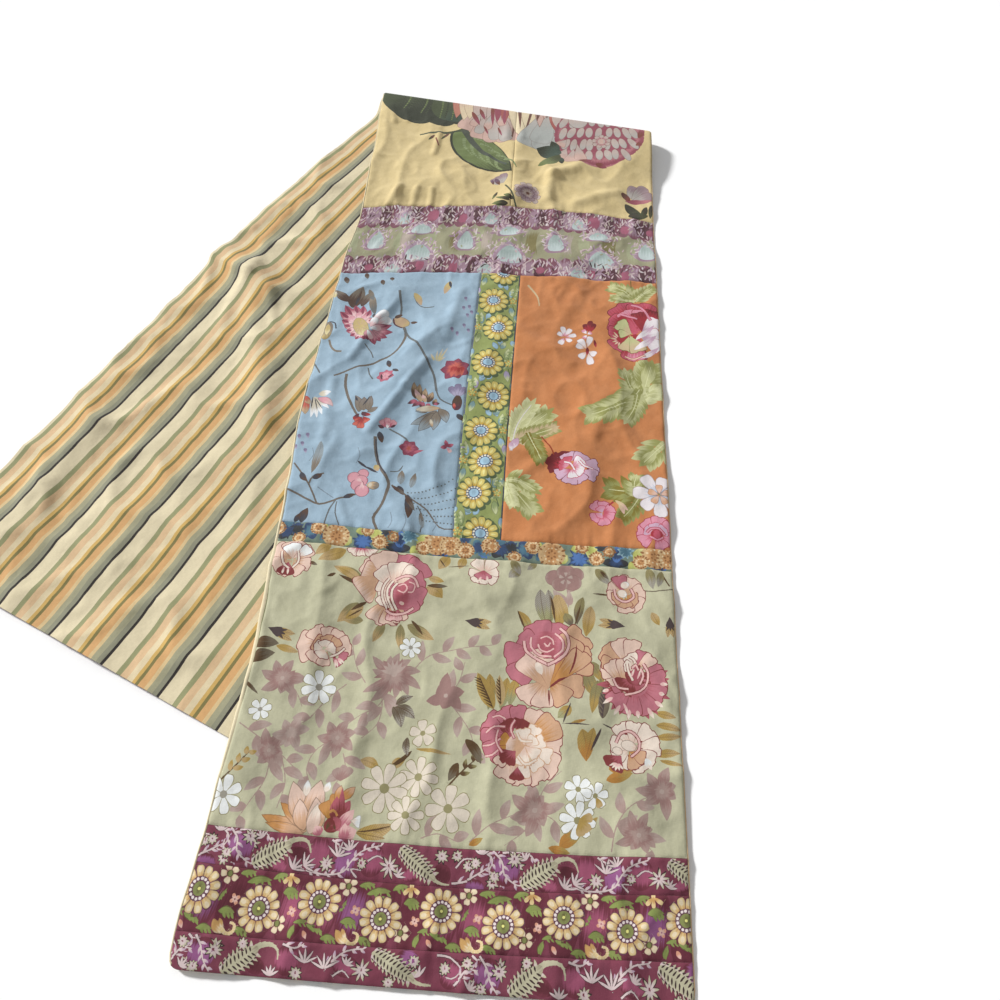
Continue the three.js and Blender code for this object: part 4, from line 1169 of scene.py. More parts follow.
innerRow = {"wash": [((88, 0), (88, 27), 15, "rosy"), ((126, 2), (128, 24), 18, "rosy"),
    ((8, -6), (9, 6), 14, "violet"), ((56, 0), (62, 11), 18, "rosy"), ((66, 14), (82, 12), 8, "dark"),
    ((176, 0), (180, 14), 14, "dark"), ((30, 2), (30, 26), 20, "violet"),
    ((108, -4), (108, 26), 14, "violet"), ((160, 2), (156, 12), 18, "rosy")],
    "curl": [((20, 25), (27, 18), (29, 10), (37, 4), (42, 3)), ((3, 5), (10, 9), (19, 15)),
    ((27, 24), (36, 25), (46, 24), (51, 19)), ((72, 5), (84, 2), (97, 1), (108, 4), (113, 12), (120, 19),
    (132, 23)), ((186, 2), (196, 4), (207, 10), (215, 17), (221, 24)), ((217, 18), (222, 10), (221, 2)),
    ((14, 24), (20, 19), (18, 12)), ((96, 24), (104, 20), (110, 23))],
    "loop": [((118, 1), (113, 6), (120, 6)), ((188, 12), (193, 18), (200, 18), (201, 10)),
    ((124, 12), (130, 16), (136, 14))], "tuft": [((72, 2), 60, 9), ((79, 5), 40, 9), ((102, 13), 80, 11),
    ((110, 18), 110, 8), ((12, 22), 90, 6), ((146, 4), 60, 7), ((44, 20), 120, 6)],
    "paisley": [((42, 3), (66, 18), 13, ((68, 21), (76, 22), (80, 19), (82, 14))),
    ((147, 22), (173, 4), 10, ((176, 2), (184, 1)))], "floret": [((36, 20), 5.5), ((22, 8), 4),
    ((95, 8), 5.5), ((140, 10), 7.5), ((177, 19), 5), ((197, 14), 4), ((215, 4), 4.6), ((232, 16), 5.5),
    ((8, 16), 4), ((120, 10), 3.6), ((188, 20), 4)]}
edgeRow = {"wash": [((80, 2), (80, 22), 16, "rosy"), ((118, 4), (122, 18), 18, "rosy"),
    ((56, 2), (60, 12), 16, "dark"), ((154, 20), (170, 16), 12, "violet"), ((20, 0), (24, 22), 18, "violet"),
    ((188, 2), (196, 20), 16, "rosy")], "curl": [((16, 23), (21, 16), (24, 8), (29, 1)),
    ((106, 7), (112, 15), (120, 21), (131, 23)), ((205, 23), (212, 17), (216, 9), (214, 2)),
    ((194, 4), (201, 11), (209, 17)), ((3, 8), (8, 14), (15, 14)), ((76, 22), (84, 20), (90, 23))],
    "loop": [((181, 22), (190, 21), (198, 14), (192, 8), (184, 11)), ((112, 4), (118, 8), (123, 4))],
    "tuft": [((92, 11), 90, 10), ((106, 8), 95, 11), ((70, 1), 90, 7), ((170, 8), 120, 8), ((10, 2), 60, 7),
    ((120, 12), 60, 6)], "paisley": [((38, 1), (58, 18), 13, ((60, 20), (68, 21), (73, 18), (74, 12))),
    ((138, 21), (166, 6), 11, ((169, 4), (178, 3)))], "floret": [((30, 14), 5.5), ((8, 18), 4), ((18, 3), 4),
    ((87, 4), 4.6), ((131, 9), 7), ((166, 17), 4.4), ((187, 14), 4.4), ((224, 17), 5), ((207, 5), 4.6),
    ((48, 20), 4), ((150, 3), 4)]}


def plumPrint(low, row):
    p = Print(plumColours, 53)
    for u in (-bandRepeat, 0, bandRepeat):
        plumRow(p, u, low, row)
    return p


def daisyBandPrint():
    p = Print(plumColours, 59)
    for u in range(-10, 360, 21):
        tone = ("rosy", "violet", "deep", "rosy", "dark")[(u // 7) % 5]
        p.mark((u, 20), (u + 8, 70), 21, "round", tone, "deep", turn=-0.4)
    leaves = ((26, 62, 37, 64, 4, 0), (32, 57, 49, 60, 5, 1), (15, 44, 19, 52, 2.4, 0),
        (17, 38, 28, 38, 5, 1), (-6, 35, 6, 31, 4.4, 0), (5, 27, 16, 27, 4.4, 1), (29, 28, 40, 26, 4, 1),
        (50, 61, 61, 64, 4, 1), (59, 53, 70, 54, 6, 1), (69, 26, 72, 34, 4, 0), (71, 35, 82, 36, 3, 1),
        (74, 50, 74, 56, 2, 0))
    for i in range(-1, 5):
        u = 9.5 + daisyRepeat * i
        for fromU, fromV, toU, toV, wide, bend in leaves:
            start, end = (u + fromU, fromV), (u + toU, toV)
            p.mark(start, end, wide * 1.1, "leaf", "moss", bend=bend)
            p.mark(start, end, wide * 0.8, "leaf", "lime", "green", bend=bend, veins=0.3)
            # teeth along one side
            for t in (0.3, 0.55, 0.8):
                root = tuple(s + (e - s) * t for s, e in zip(start, end))
                p.mark(root, (root[0] + (end[0] - start[0]) * 0.22, root[1] - wide * 0.75), wide * 0.4,
                    "leaf", "lime")
        for spot, radius in (((u + 18.5, 61), 6.4), ((u + 59, 34), 6)):
            p.ring(spot, 0.6, radius, 5, 4.4, "coral", "cream", "petal", 0.3, 0.2, start=40)
            p.dot(spot, 2.3, "green", "moss", rim=0.5)
        for spot in ((u + 26, 46), (u + 68, 42)):
            p.ring(spot, 0.4, 3.6, 4, 2.6, "blush", "coral", "round", 0.5, 0, start=30)
        p.leaves("coral", "blush", (u + 78, 31, u + 81, 26, 3))
        # tulip and bell
        p.leaves("gold", "cream", (u + 15, 33, u + 26, 26, 6, -2), (u + 19, 34, u + 23, 27, 3), rim=0.2)
        p.stem([(u + 21, 28), (u + 26, 25), (u + 30, 27), (u + 30, 31), (u + 27, 32)], 2.8, "petal", "cream",
            1.4, 2)
        p.petals("gold", "petal", (u + 63, 64, u + 58, 59, 3), (u + 63, 64, u + 63, 57),
            (u + 63, 64, u + 69, 60), (u + 63, 61, u + 63, 66))
        for middle in ((u, 49.5), (u + 44, 42)):
            p.ring(middle, 4, 15.1, 12, 6.2, "ring", start=75)
            p.ring(middle, 4, 14.6, 12, 5.4, "gold", "petal", "petal", 0.45, 0.25, start=75, uneven=0.2)
            p.ring(middle, 10, 14, 12, 2.8, "cream", shape="round", start=75)
            p.dot(middle, 7.6, "ring")
            p.dots(middle, 6.1, 14, 1.0, "bead")
            p.dot(middle, 4.4, "moss", "green", turn=0.3)
            p.dot(middle, 1.0, "yellow")
    return p


# Mauve and sage band
scrollColours = {"plum": (128, 84, 98), "dark": (92, 60, 68), "rosy": (160, 94, 116),
    "pale": (206, 186, 190), "white": (218, 208, 212), "sage": (160, 158, 130), "green": (168, 172, 140),
    "aqua": (176, 194, 192), "sky": (196, 210, 212), "lilac": (184, 160, 180), "mauve": (160, 132, 148),
    "olive": (134, 126, 86), "ink": (82, 58, 62), "stone": (180, 168, 158)}

# pale hearts with lace about them, and the plain blocks of the two borders: place, width, height
hearts = ((0, 737, 19, 30), (53, 716, 29, 29), (50, 755, 24, 17), (26, 774, 16, 17), (27, 690, 18, 16))
plainBlocks = ((90, 780, 14, 25), (127, 775, 10, 20), (66, 768, 8, 12), (88, 693, 9, 18), (126, 690, 9, 20),
    (64, 685, 12, 8), (158, 776, 12, 14), (30, 692, 10, 12))


def lace(p, u, v, reach, tones, spread=0.45):
    # one short pale stroke, upright give or take
    lean = p.random.gauss(0.12, spread)
    away = (reach * math.sin(lean), reach * math.cos(lean))
    p.mark((u - away[0], v - away[1]), (u + away[0], v + away[1]), p.random.uniform(1.3, 2.3), "leaf",
        p.random.choice(tones))


def scrollPrint():
    p = Print(scrollColours, 67)
    for u in range(-6, 362, 13):
        tone = ("green", "sage", "olive", "sage", "green", "stone", "sage")[(u // 13) % 7]
        p.mark((u, 708), (u + p.random.uniform(-6, 6), 764), 21, "round", tone, "sage", turn=-0.6)
        for v in (781, 691):
            tone = ("plum", "dark", "mauve")[(u // 13 * 2) % 3]
            p.mark((u, v - 22), (u + p.random.uniform(-5, 5), v + 20), 19, "round", tone, "plum", turn=-0.7)
    for shift in (-bandRepeat, 0, bandRepeat):
        for u, v, wide, tall in plainBlocks:
            p.mark((u + shift, v - tall / 2), (u + shift + 1, v + tall / 2), wide, "round", "rosy", "plum",
                turn=-0.8)
    for shift in range(-75, 360, heartRepeat):
        for u, v, wide, tall in hearts:
            u += shift
            p.mark((u - 2, v + tall * 0.7), (u + 1, v - tall * 0.6), wide * 1.35, "petal", "lilac", "mauve",
                streak=1)
            p.mark((u, v + tall * 0.55), (u + 1, v - tall * 0.5), wide, "petal", "aqua", "sky", turn=0.6,
                streak=1)
            count = round(wide * 1.9)
            for i in range(count):
                angle = math.radians(-40 + 260 * i / count)
                reach = p.random.uniform(0.5, 0.95)
                lace(p, u + wide * reach * math.cos(angle), v + tall * reach * math.sin(angle) * 0.9, 3.4,
                    ("pale", "lilac", "pale", "mauve", "white"), 0.8)
    # close strokes over both borders, and a few over the middle
    half = bandRepeat / 2
    for column in range(105):
        for v in (688, 694, 700, 706, 769, 775, 781, 787, 793):
            u = 3.4 * column + p.random.uniform(-1.2, 1.2)
            inBlock = any(abs((u - at + half) % bandRepeat - half) < wide / 2 and abs(v - along) < tall / 2
                for at, along, wide, tall in plainBlocks)
            if not inBlock:
                lace(p, u, v + p.random.uniform(-2.5, 2.5), p.random.uniform(2.4, 4.6),
                    ("pale", "pale", "white", "lilac", "stone", "mauve", "ink"))
    for i in range(60):
        lace(p, p.random.uniform(0, 356), p.random.uniform(710, 764), 2.6, ("pale", "lilac", "green"))
    return p


# Trim with small clusters
trimColours = {"navy": (60, 78, 112), "blue": (86, 122, 182), "teal": (84, 120, 140), "dark": (58, 60, 62),
    "orange": (196, 146, 98), "tan": (210, 178, 134), "cream": (228, 206, 168), "brown": (150, 106, 68),
    "lime": (190, 194, 112), "pale": (208, 208, 146), "aqua": (150, 184, 196)}


def trimPrint():
    p = Print(trimColours, 71)
    for u in (-bandRepeat, 0, bandRepeat):
        for across, along, toward, reach in ((70, 334, 160, 15), (72, 345, 20, 24), (90, 350, 250, 16),
                (128, 338, 50, 17), (124, 336, 310, 13), (60, 332, 40, 12), (164, 346, 100, 10),
                (88, 344, 20, 12), (240, 336, 20, 18), (46, 348, 200, 12), (150, 350, 190, 12)):
            angle = math.radians(toward)
            tip = (u + across + reach * math.cos(angle), along + reach * math.sin(angle))
            p.mark((u + across, along), tip, 11, "leaf", "lime", "pale", rim=0.3, veins=0.3)
        for fromU, fromV, toU, toV, wide, base, tip in ((73, 331, 86, 341, 13, "blue", "navy"),
                (100, 333, 123, 334, 9, "navy", "dark"), (3, 332, 15, 347, 12, "navy", "dark"),
                (112, 334, 113, 350, 9, "navy", "blue"), (18, 350, 20, 334, 9, "dark", "navy"),
                (27, 350, 36, 333, 11, "teal", "navy"), (142, 332, 157, 332, 8, "navy", "blue"),
                (187, 331, 192, 342, 9, "teal", "blue"), (12, 352, 6, 344, 7, "teal", "navy"),
                (116, 342, 125, 350, 10, "teal", "aqua"), (166, 350, 176, 347, 8, "navy", "teal"),
                (180, 348, 187, 334, 9, "navy", "teal"), (42, 332, 48, 345, 6, "navy", "teal"),
                (96, 350, 104, 346, 8, "dark", "navy")):
            p.mark((u + fromU, fromV), (u + toU, toV), wide, "round", base, tip, turn=-0.5)
            p.ring((u + (fromU + toU) / 2, (fromV + toV) / 2), 2, wide * 0.8, 9, 2.6, base, tip, "leaf",
                uneven=0.7)
        for across, along, radius in ((38, 345, 7), (55, 339, 12), (95, 337, 7), (146, 342, 12),
                (158, 341, 10), (172, 337, 8), (2, 342, 6), (106, 344, 5), (82, 348, 6), (22, 333, 6),
                (134, 336, 7), (194, 343, 8)):
            p.dot((u + across, along), radius, "orange", "tan", turn=0.5)
            for ring, reach in enumerate((0.25, 0.55, 0.85)):
                p.ring((u + across, along), radius * reach - 0.9, radius * reach + 1.3, 6 + 5 * ring, 1.9,
                    ("brown", "cream", "brown")[ring], shape="leaf", uneven=0.8)
    return p


# Yellow ground with large roses and leaves
yellowColours = {"leaf": (78, 86, 62), "deep": (60, 64, 52), "bright": (116, 130, 84),
    "vein": (138, 152, 112), "teal": (72, 86, 76), "grey": (84, 88, 78), "red": (166, 96, 92),
    "wine": (152, 84, 98), "rosy": (184, 122, 130), "blush": (208, 176, 166), "pale": (194, 178, 172),
    "cool": (186, 180, 176), "blue": (178, 182, 180), "cream": (226, 208, 178), "line": (112, 78, 68),
    "brown": (132, 76, 68), "mauve": (158, 138, 144), "violet": (112, 90, 106), "coral": (192, 132, 116),
    "light": (230, 216, 184)}


def yellowPrint():
    p = Print(yellowColours, 83)
    # great leaf cut by the fold, and the whole one beside it
    p.lay("round", "leaf", "deep", (4, 1050, 74, 966, 64), (40, 1060, 98, 958, 62), (70, 1060, 112, 960, 44),
        turn=0.4)
    p.leaves("leaf", "teal", (70, 1010, 121, 966, 34, -4))
    for points in ([(80, 1030), (84, 1000), (82, 972)], [(96, 1030), (100, 1000), (98, 968)],
            [(60, 1030), (62, 1004), (56, 982)], [(40, 1030), (38, 1008), (32, 992)]):
        p.stem(points, 3.2, "bright", "leaf", 1.6)
        p.stem([(u + 7, v) for u, v in points], 3.4, "deep", "leaf", 1.8)
    p.stem([(58, 938), (78, 941), (98, 943), (112, 947), (120, 952)], 3.4, "leaf", "grey", 6.0)
    p.leaves("line", "leaf", (78, 936, 70, 926, 4), (97, 942, 86, 928))
    p.stem([(80, 930), (84, 915)], 1.6, "brown")
    p.leaves("deep", None, (100, 944, 182, 860, 52, -1))
    p.leaves("bright", "leaf", (103, 943, 180, 863, 48, -1), turn=0.75)
    for i in range(5):
        u, v = 117 + 11 * i, 930 - 11.5 * i
        p.stem([(u, v + 2), (u + 1, v - 14 + i), (u + 13 - i, v - 32 + 3.2 * i)], 5.2, "vein", "bright", 1.4)
        p.stem([(u + 10, v + 2), (u + 24 - i, v - 4), (u + 34 - 2 * i, v - 16)], 3.6, "vein", "bright", 1.2)
    p.stem([(116, 948), (128, 924), (142, 904), (158, 890), (174, 874)], 9, "grey", "teal", 3)

    # rose at the top left
    p.lay("fan", "pale", "blush", (146, 1000, 122, 946, 40), (150, 1000, 140, 930, 36),
        (154, 1000, 158, 924, 34), (160, 1000, 174, 922, 30), rim=0.6, turn=0.55)
    p.leaves("red", "coral", (106, 1050, 104, 972, 22, 2), rim=0.4)
    p.leaves("blush", "cream", (112, 1040, 114, 966, 22, 3), (120, 1040, 122, 968, 20), rim=0.6)
    p.leaves("blush", "pale", (132, 1040, 130, 960, 18, 2), (142, 1040, 138, 958, 14, 1),
        (152, 1040, 146, 956, 12), rim=0.9)
    p.petals("pale", "cool", (152, 972, 158, 928, 18), (168, 972, 172, 922, 18, -1),
        (142, 974, 134, 942, 14), rim=0.7)
    p.petals("cool", "blush", (150, 978, 146, 950, 12), (160, 984, 166, 954), (136, 980, 126, 956), rim=0.8)
    p.leaves("brown", "wine", (158, 1040, 158, 962, 14, 1), (168, 1040, 168, 956), (150, 1000, 153, 956, 5),
        (124, 984, 136, 958, 6), (134, 990, 142, 968, 5), (142, 956, 148, 940, 3), (160, 952, 166, 934),
        turn=0.5)
    p.leaves("coral", "red", (163, 1040, 164, 966, 6), (171, 1030, 170, 962, 4))
    p.stem([(176, 1030), (176, 980), (180, 955), (179, 932)], 2.6, "line")

    # petals beside the seam, then the round bloom
    p.leaves("cream", "light", (186, 1040, 192, 926, 28, -3), (198, 1040, 200, 934, 22), rim=0.9)
    p.leaves("line", None, (178, 1040, 189, 946, 5, 2), (206, 1030, 192, 924, 3.4, 2))
    p.lay("fan", "cool", "blue", (226, 1000, 204, 912, 44), (230, 1000, 224, 908, 42),
        (232, 1000, 214, 922, 30), rim=0.6)
    p.leaves("pale", "blush", (212, 1030, 214, 952, 16), (222, 1030, 219, 968, 12), rim=0.9)
    p.leaves("brown", "line", (214, 1020, 210, 964, 7), (228, 1000, 222, 970, 6), (234, 990, 240, 930, 3))
    p.lay("round", "coral", "red", (246, 1016, 250, 936, 46), rim=0.4)
    p.lay("round", "pale", "cool", (245, 1000, 247, 946, 34), turn=0.8)
    p.leaves("red", "coral", (262, 1000, 264, 944, 10), (244, 950, 252, 932, 8))
    p.mark((290, 1014), (290, 878), 104, "round", "wine", "rosy", turn=-0.8)
    p.ring((290, 938), 44, 57, 24, 11, "rosy", "wine", "petal", squash=1.0, start=150, sweep=240)
    for v in (1004, 983, 962, 941, 920, 900):
        half = 50 * math.sqrt(1 - ((v - 948) / 72) ** 2)
        count = round(half / 5.4)
        for i in range(count):
            u = 290 - half + (i + 0.5 + 0.2 * p.random.uniform(-1, 1)) * 2 * half / count
            lean = (u - 290) * 0.1 + p.random.uniform(-2, 2)
            p.mark((u - lean, v + 10), (u + lean, v - p.random.uniform(8, 12)), p.random.uniform(8.6, 10.2),
                "round", "pale", "cool", rim=0.6)
    p.lay("round", "pale", "cool", (262, 984, 264, 950, 26), rim=0.8, turn=0.7)
    for at, reach in (((300, 985), 11), ((293, 925), 12)):
        p.ring(at, 0, reach, 9, 6.5, "rosy", "pale", "petal", rim=0.8)
        p.dot(at, reach * 0.4, "blush", "pale")
    p.lay("fan", "pale", "blush", (250, 916, 240, 888, 20), (258, 914, 256, 884), (262, 924, 268, 888, 16),
        (250, 930, 240, 918, 14), rim=0.6)
    p.leaves("brown", "wine", (264, 886, 282, 890, 6), (286, 884, 300, 878, 8), (340, 930, 346, 952),
        (336, 916, 346, 926, 6))

    # small leaves, buds and the mauve flower
    p.leaves("teal", "deep", (243, 902, 211, 912, 26, 2), (238, 906, 230, 926, 12), (242, 894, 244, 880, 8))
    p.leaves("leaf", "bright", (242, 898, 214, 876, 16, 2), turn=0.4, veins=0.3)
    p.petals("cool", "mauve", (172, 838, 172, 858, 11), (170, 838, 164, 854, 10),
        (166, 836, 158, 850, 9), rim=0.3)
    p.leaves("violet", "line", (162, 850, 168, 836, 6), (158, 848, 160, 838, 4))
    p.stem([(175, 834), (180, 825), (184, 815), (188, 803), (190, 797)], 2.0, "leaf", "grey")
    p.leaves("deep", "bright", (186, 806, 174, 814, 6), (182, 804, 164, 812, 5), (180, 800, 160, 800, 8),
        (166, 822, 160, 808, 4), veins=0.4)
    for reach, wide, tones in ((17, 8, ("mauve", "pale")), (13, 7, ("violet", "mauve")),
            (8, 5, ("pale", "mauve"))):
        p.ring((203, 821), 1, reach, 11, wide, *tones, "petal", 0.6, 0.7, start=reach, uneven=0.6)
    p.dot((203, 821), 2.2, "line")
    p.petals("cool", "mauve", (326, 830, 334, 852, 14), (330, 830, 348, 852, 16), (330, 828, 356, 840),
        rim=0.5)
    p.leaves("wine", "rosy", (322, 826, 356, 832, 8, -1))
    p.lay("round", "line", "brown", (318, 838, 328, 828, 9))
    p.leaves("deep", "leaf", (322, 820, 344, 802, 14, -2), (326, 800, 350, 806, 12), (348, 820, 342, 800, 7),
        (354, 824, 352, 802, 6), veins=0.4)
    return p


prints = {"paisley_edge": plumPrint(0, edgeRow), "daisy_band": daisyBandPrint(),
    "paisley_inner": plumPrint(66, innerRow), "rose_panel": sagePrint(), "trim_band": trimPrint(),
    "blue_panel": bluePrint(), "daisy_strip": stripPrint(), "orange_panel": orangePrint(),
    "scroll_band": scrollPrint(), "yellow": yellowPrint()}
print("prints drawn:", sum(len(drawn.marks) for drawn in prints.values()), "marks")


# Finishes
class Wire:
    # one socket of a finish, so that shader sums can be written as sums
    def __init__(self, finish, socket):
        self.finish, self.socket = finish, socket

    def sum(self, operation, *values):
        return self.finish.node("Math", {"operation": operation}, dict(enumerate(values)))

    def __add__(self, other):
        return self.sum("ADD", self, other)

    __radd__ = __add__

    def __sub__(self, other):
        return self.sum("SUBTRACT", self, other)

    def __rsub__(self, other):
        return self.sum("SUBTRACT", other, self)

    def __mul__(self, other):
        return self.sum("MULTIPLY", self, other)

    __rmul__ = __mul__

    def __truediv__(self, other):
        return self.sum("DIVIDE", self, other)

    def __rtruediv__(self, other):
        return self.sum("DIVIDE", other, self)

    def __pow__(self, other):
        return self.sum("POWER", self, other)

    def __abs__(self):
        return self.sum("ABSOLUTE", self)

    def low(self, other):
        return self.sum("MINIMUM", self, other)

    def high(self, other):
        return self.sum("MAXIMUM", self, other)

    def sine(self):
        return self.sum("SINE", self)

    def root(self):
        return self.sum("SQRT", self)

    def wrap(self):
        return self.sum("FRACT", self)

    def fade(self, start, end):
        # goes smoothly from 0 to 1 between start and end
        return self.finish.node("MapRange", {"interpolation_type": "SMOOTHSTEP"},
            {"Value": self, "From Min": start, "From Max": end})

    def parts(self):
        split = self.finish.node("SeparateXYZ", {}, {"Vector": self}).socket.node
        return [Wire(self.finish, output) for output in split.outputs]


class Finish:
    # a material or a world, whose nodes are made as they are asked for
    def __init__(self, owner, shader):
        owner.use_nodes = True
        self.owner, self.tree = owner, owner.node_tree
        self.shader = self.tree.nodes[shader]

    def node(self, kind, settings=None, values=None, output=0):
        made = self.tree.nodes.new("ShaderNode" + kind)
        for key, value in (settings or {}).items():
            setattr(made, key, value)
        for key, value in (values or {}).items():
            self.feed(made.inputs[key], value)
        return Wire(self, made.outputs[output])

    def feed(self, socket, value):
        if isinstance(value, Wire):
            self.tree.links.new(value.socket, socket)
        else:
            socket.default_value = value

    def set(self, name, value):
        self.feed(self.shader.inputs[name], value)

    def attribute(self, name):
        return self.node("Attribute", {"attribute_name": name}, output=1)

    def mix(self, factor, first, second, blend="MIX"):
        return self.node("Mix", {"data_type": "RGBA", "blend_type": blend}, {0: factor, 6: first, 7: second},
            output=2)

    def noise(self, places, scale, detail=2.0, roughness=0.5):
        return self.node("TexNoise", {"noise_dimensions": "2D"},
            {"Vector": places, "Scale": scale, "Detail": detail, "Roughness": roughness})

    def stretched(self, places, across, along):
        return self.node("Mapping", {}, {"Vector": places, "Scale": (across, along, 1)})


def clothMaterial(name, roughness=0.85, sheen=0.12):
    finish = Finish(bpy.data.materials.new(name), "Principled BSDF")
    for socket, value in (("Roughness", roughness), ("Sheen Weight", sheen), ("Sheen Roughness", 0.5),
            ("Specular IOR Level", 0.2)):
        finish.set(socket, value)
    return finish


def opaque(colour):
    return (*printColour(colour), 1)


# How a mark is drawn, in millimetres: its soft edge, the rim inside it, its streaks and its veins
drawing = {"soft": 0.13, "rimOuter": 0.25, "rimInner": 0.75, "streaks": (3.7, 1.9), "streakTone": 0.11,
    "blend": 0.2, "veinGap": 1.9, "veinSlant": 0.9, "veinWide": (0.2, 0.06), "veinTone": 0.7,
    "midrib": (0.45, 0.15)}

# Cotton, by the millimetre: its weave, its uneven threads, its worn patches and its fine creases
cotton = {"weave": 7.5, "weaveHeight": 0.035, "slub": (2.2, 0.25), "slubTone": 0.12, "slubHeight": 0.06,
    "worn": 0.035, "crease": 0.07, "creaseHeight": 0.9, "bump": 0.7, "tint": (1, 0.985, 0.95)}


# The ground of a print: how much darker its patches are, their scale and range, and how far and how
# finely the edges of the marks wobble
dye = {"darker": 7.65, "patchScale": 0.05, "patches": (0.35, 0.65), "wobble": 0.55, "wobbleScale": 0.42}

# The lining's stripes: how far apart they repeat, where they start, and how far they wander
stripeLay = {"repeat": 57.9, "start": 47.8, "wander": 1.6, "wanderScale": (0.02, 0.006)}


def printedColour(finish, ground, layers, wobble, ink, veins):
    # lays the marks over the ground, from the lowest layer to the top one
    colour = ground
    for layer in reversed(range(layers)):
        x, y, half = finish.attribute(f"place{layer}").parts()
        a, b, bend = finish.attribute(f"form{layer}").parts()
        ratio, rim, streak = finish.attribute(f"edge{layer}").parts()
        turn, vein, seed = finish.attribute(f"look{layer}").parts()
        side = abs(y - bend * 4 * x * (1 - x))
        inside = x.high(markEnds[0]).low(markEnds[1])
        outline = inside ** a * (1 - inside) ** b
        slope = ratio * outline * (a / inside - b / (1 - inside))
        away = (outline - side) * half / (slope * slope + 1).root()
        away = away.low((0.5 - abs(x - 0.5)) * half / ratio) + wobble
        broad, fine = (y * half * often for often in drawing["streaks"])
        lines = ((broad + seed).sine() + (fine + seed * 3).sine()) * streak * drawing["streakTone"]
        radial = ((2 * x - 1) * (2 * x - 1) + y * y * 1.2).root()
        going = x + (radial - x) * turn.fade(0.001, -0.001)
        shade = (going + lines - abs(turn)).fade(-drawing["blend"], drawing["blend"])
        petal = finish.mix(shade, finish.attribute(f"base{layer}"), finish.attribute(f"tip{layer}"))
        line = away.fade(drawing["rimInner"], drawing["rimOuter"]) * rim
        if veins:
            rib = ((x * half / ratio - side * half * drawing["veinSlant"]) / drawing["veinGap"]).wrap()
            ribs = abs(rib - 0.5).fade(*drawing["veinWide"]) * drawing["veinTone"]
            midrib = (side * half).fade(*drawing["midrib"])
            line = line.high(ribs.high(midrib) * vein)
        petal = finish.mix(line, petal, ink)
        colour = finish.mix(away.fade(-drawing["soft"], drawing["soft"]), colour, petal)
    return colour


def clothFinish(finish, places, colour, fade=0.09, depth=0.84):
    # cotton: a plain weave with uneven threads, slightly faded in patches, and fine creases
    worn = finish.noise(places, cotton["worn"], 3.0, 0.55)
    threads = finish.noise(finish.stretched(places, *cotton["slub"]), 1.0, 1.0)
    picks = finish.noise(finish.stretched(places, *reversed(cotton["slub"])), 1.0, 1.0)
    level = depth + (worn - 0.5) * fade * 2 + (threads + picks - 1) * cotton["slubTone"]
    tone = finish.node("CombineXYZ", {}, {i: level * part for i, part in enumerate(cotton["tint"])})
    finish.set("Base Color", finish.mix(1.0, colour, tone, "MULTIPLY"))
    u, v, _ = places.parts()
    weave = (u * cotton["weave"]).sine() * (v * cotton["weave"]).sine() * cotton["weaveHeight"]
    creased = finish.noise(places, cotton["crease"], 3.0, 0.55) * cotton["creaseHeight"]
    height = weave + (threads + picks) * cotton["slubHeight"] + creased
    finish.set("Normal", finish.node("Bump", {},
        {"Strength": cotton["bump"], "Distance": 0.001, "Height": height}))


def liningFinish():
    # woven stripes that run the whole length
    finish = clothMaterial("striped_lining")
    places = finish.node("UVMap", {"uv_map": "cut"})
    # where each stripe of the repeat starts, and its colour
    stripes = ((0.0, (70, 66, 60)), (0.006, (232, 220, 188)), (0.24, (158, 160, 120)),
        (0.32, (228, 196, 156)), (0.43, (234, 218, 182)), (0.53, (216, 180, 108)), (0.585, (134, 126, 80)),
        (0.635, (222, 176, 122)), (0.74, (226, 200, 152)), (0.80, (172, 170, 142)), (0.89, (150, 150, 130)),
        (0.963, (48, 44, 42)))
    u = places.parts()[0]
    wander = finish.noise(finish.stretched(places, *stripeLay["wanderScale"]), 1.0, 1.0)
    repeat = ((u + wander * stripeLay["wander"] - stripeLay["start"]) / stripeLay["repeat"]).wrap()
    colour = finish.node("ValToRGB", {}, {"Fac": repeat})
    ramp = colour.socket.node.color_ramp
    ramp.interpolation = "CONSTANT"
    for _ in stripes[2:]:
        ramp.elements.new(1.0)
    for element, (place, tone) in zip(ramp.elements, stripes):
        element.position, element.color = place, opaque(tone)
    clothFinish(finish, places, colour, fade=0.1, depth=0.88)
    return finish


def printFinish(name, ground, ink, layers, veins):
    # the ground is a little darker in patches
    darker = tuple(max(0, tone - dye["darker"]) for tone in ground)
    finish = clothMaterial(name)
    places = finish.node("UVMap", {"uv_map": "cut"})
    wobble = (finish.noise(places, dye["wobbleScale"]) - 0.5) * dye["wobble"]
    wash = finish.noise(places, dye["patchScale"], 2.0, 0.6).fade(*dye["patches"])
    base = finish.mix(wash, opaque(ground), opaque(darker))
    colour = printedColour(finish, base, layers, wobble, opaque(ink), veins)
    clothFinish(finish, places, colour)
    return finish


# ground, ink and how many marks may lie over one another
printed = {
    "sage_print": ((199, 198, 170), (96, 74, 58), 8),
    "blue_print": ((166, 192, 213), (84, 76, 78), 5),
    "orange_print": ((206, 138, 90), (110, 60, 50), 8),
    "green_print": ((156, 168, 106), (80, 84, 60), 5),
    "mauve_print": ((160, 156, 138), (120, 84, 100), 8),
    "yellow_print": ((226, 206, 156), (110, 70, 60), 6),
    "trim_print": ((124, 142, 130), (60, 56, 60), 5),
    "plum_print": ((128, 66, 84), (80, 40, 52), 6)}
plainInk = ("green_print", "mauve_print", "trim_print", "plum_print")
finishes = {"striped_lining": liningFinish()}
for name, (ground, ink, layers) in printed.items():
    finishes[name] = printFinish(name, ground, ink, layers, name not in plainInk)
print("finishes ready")


# Patchwork
def slotOf(node):
    rows = frame["record"]["subparts"]
    return next(row["material_slot"] for row in rows if row["node"] == node)


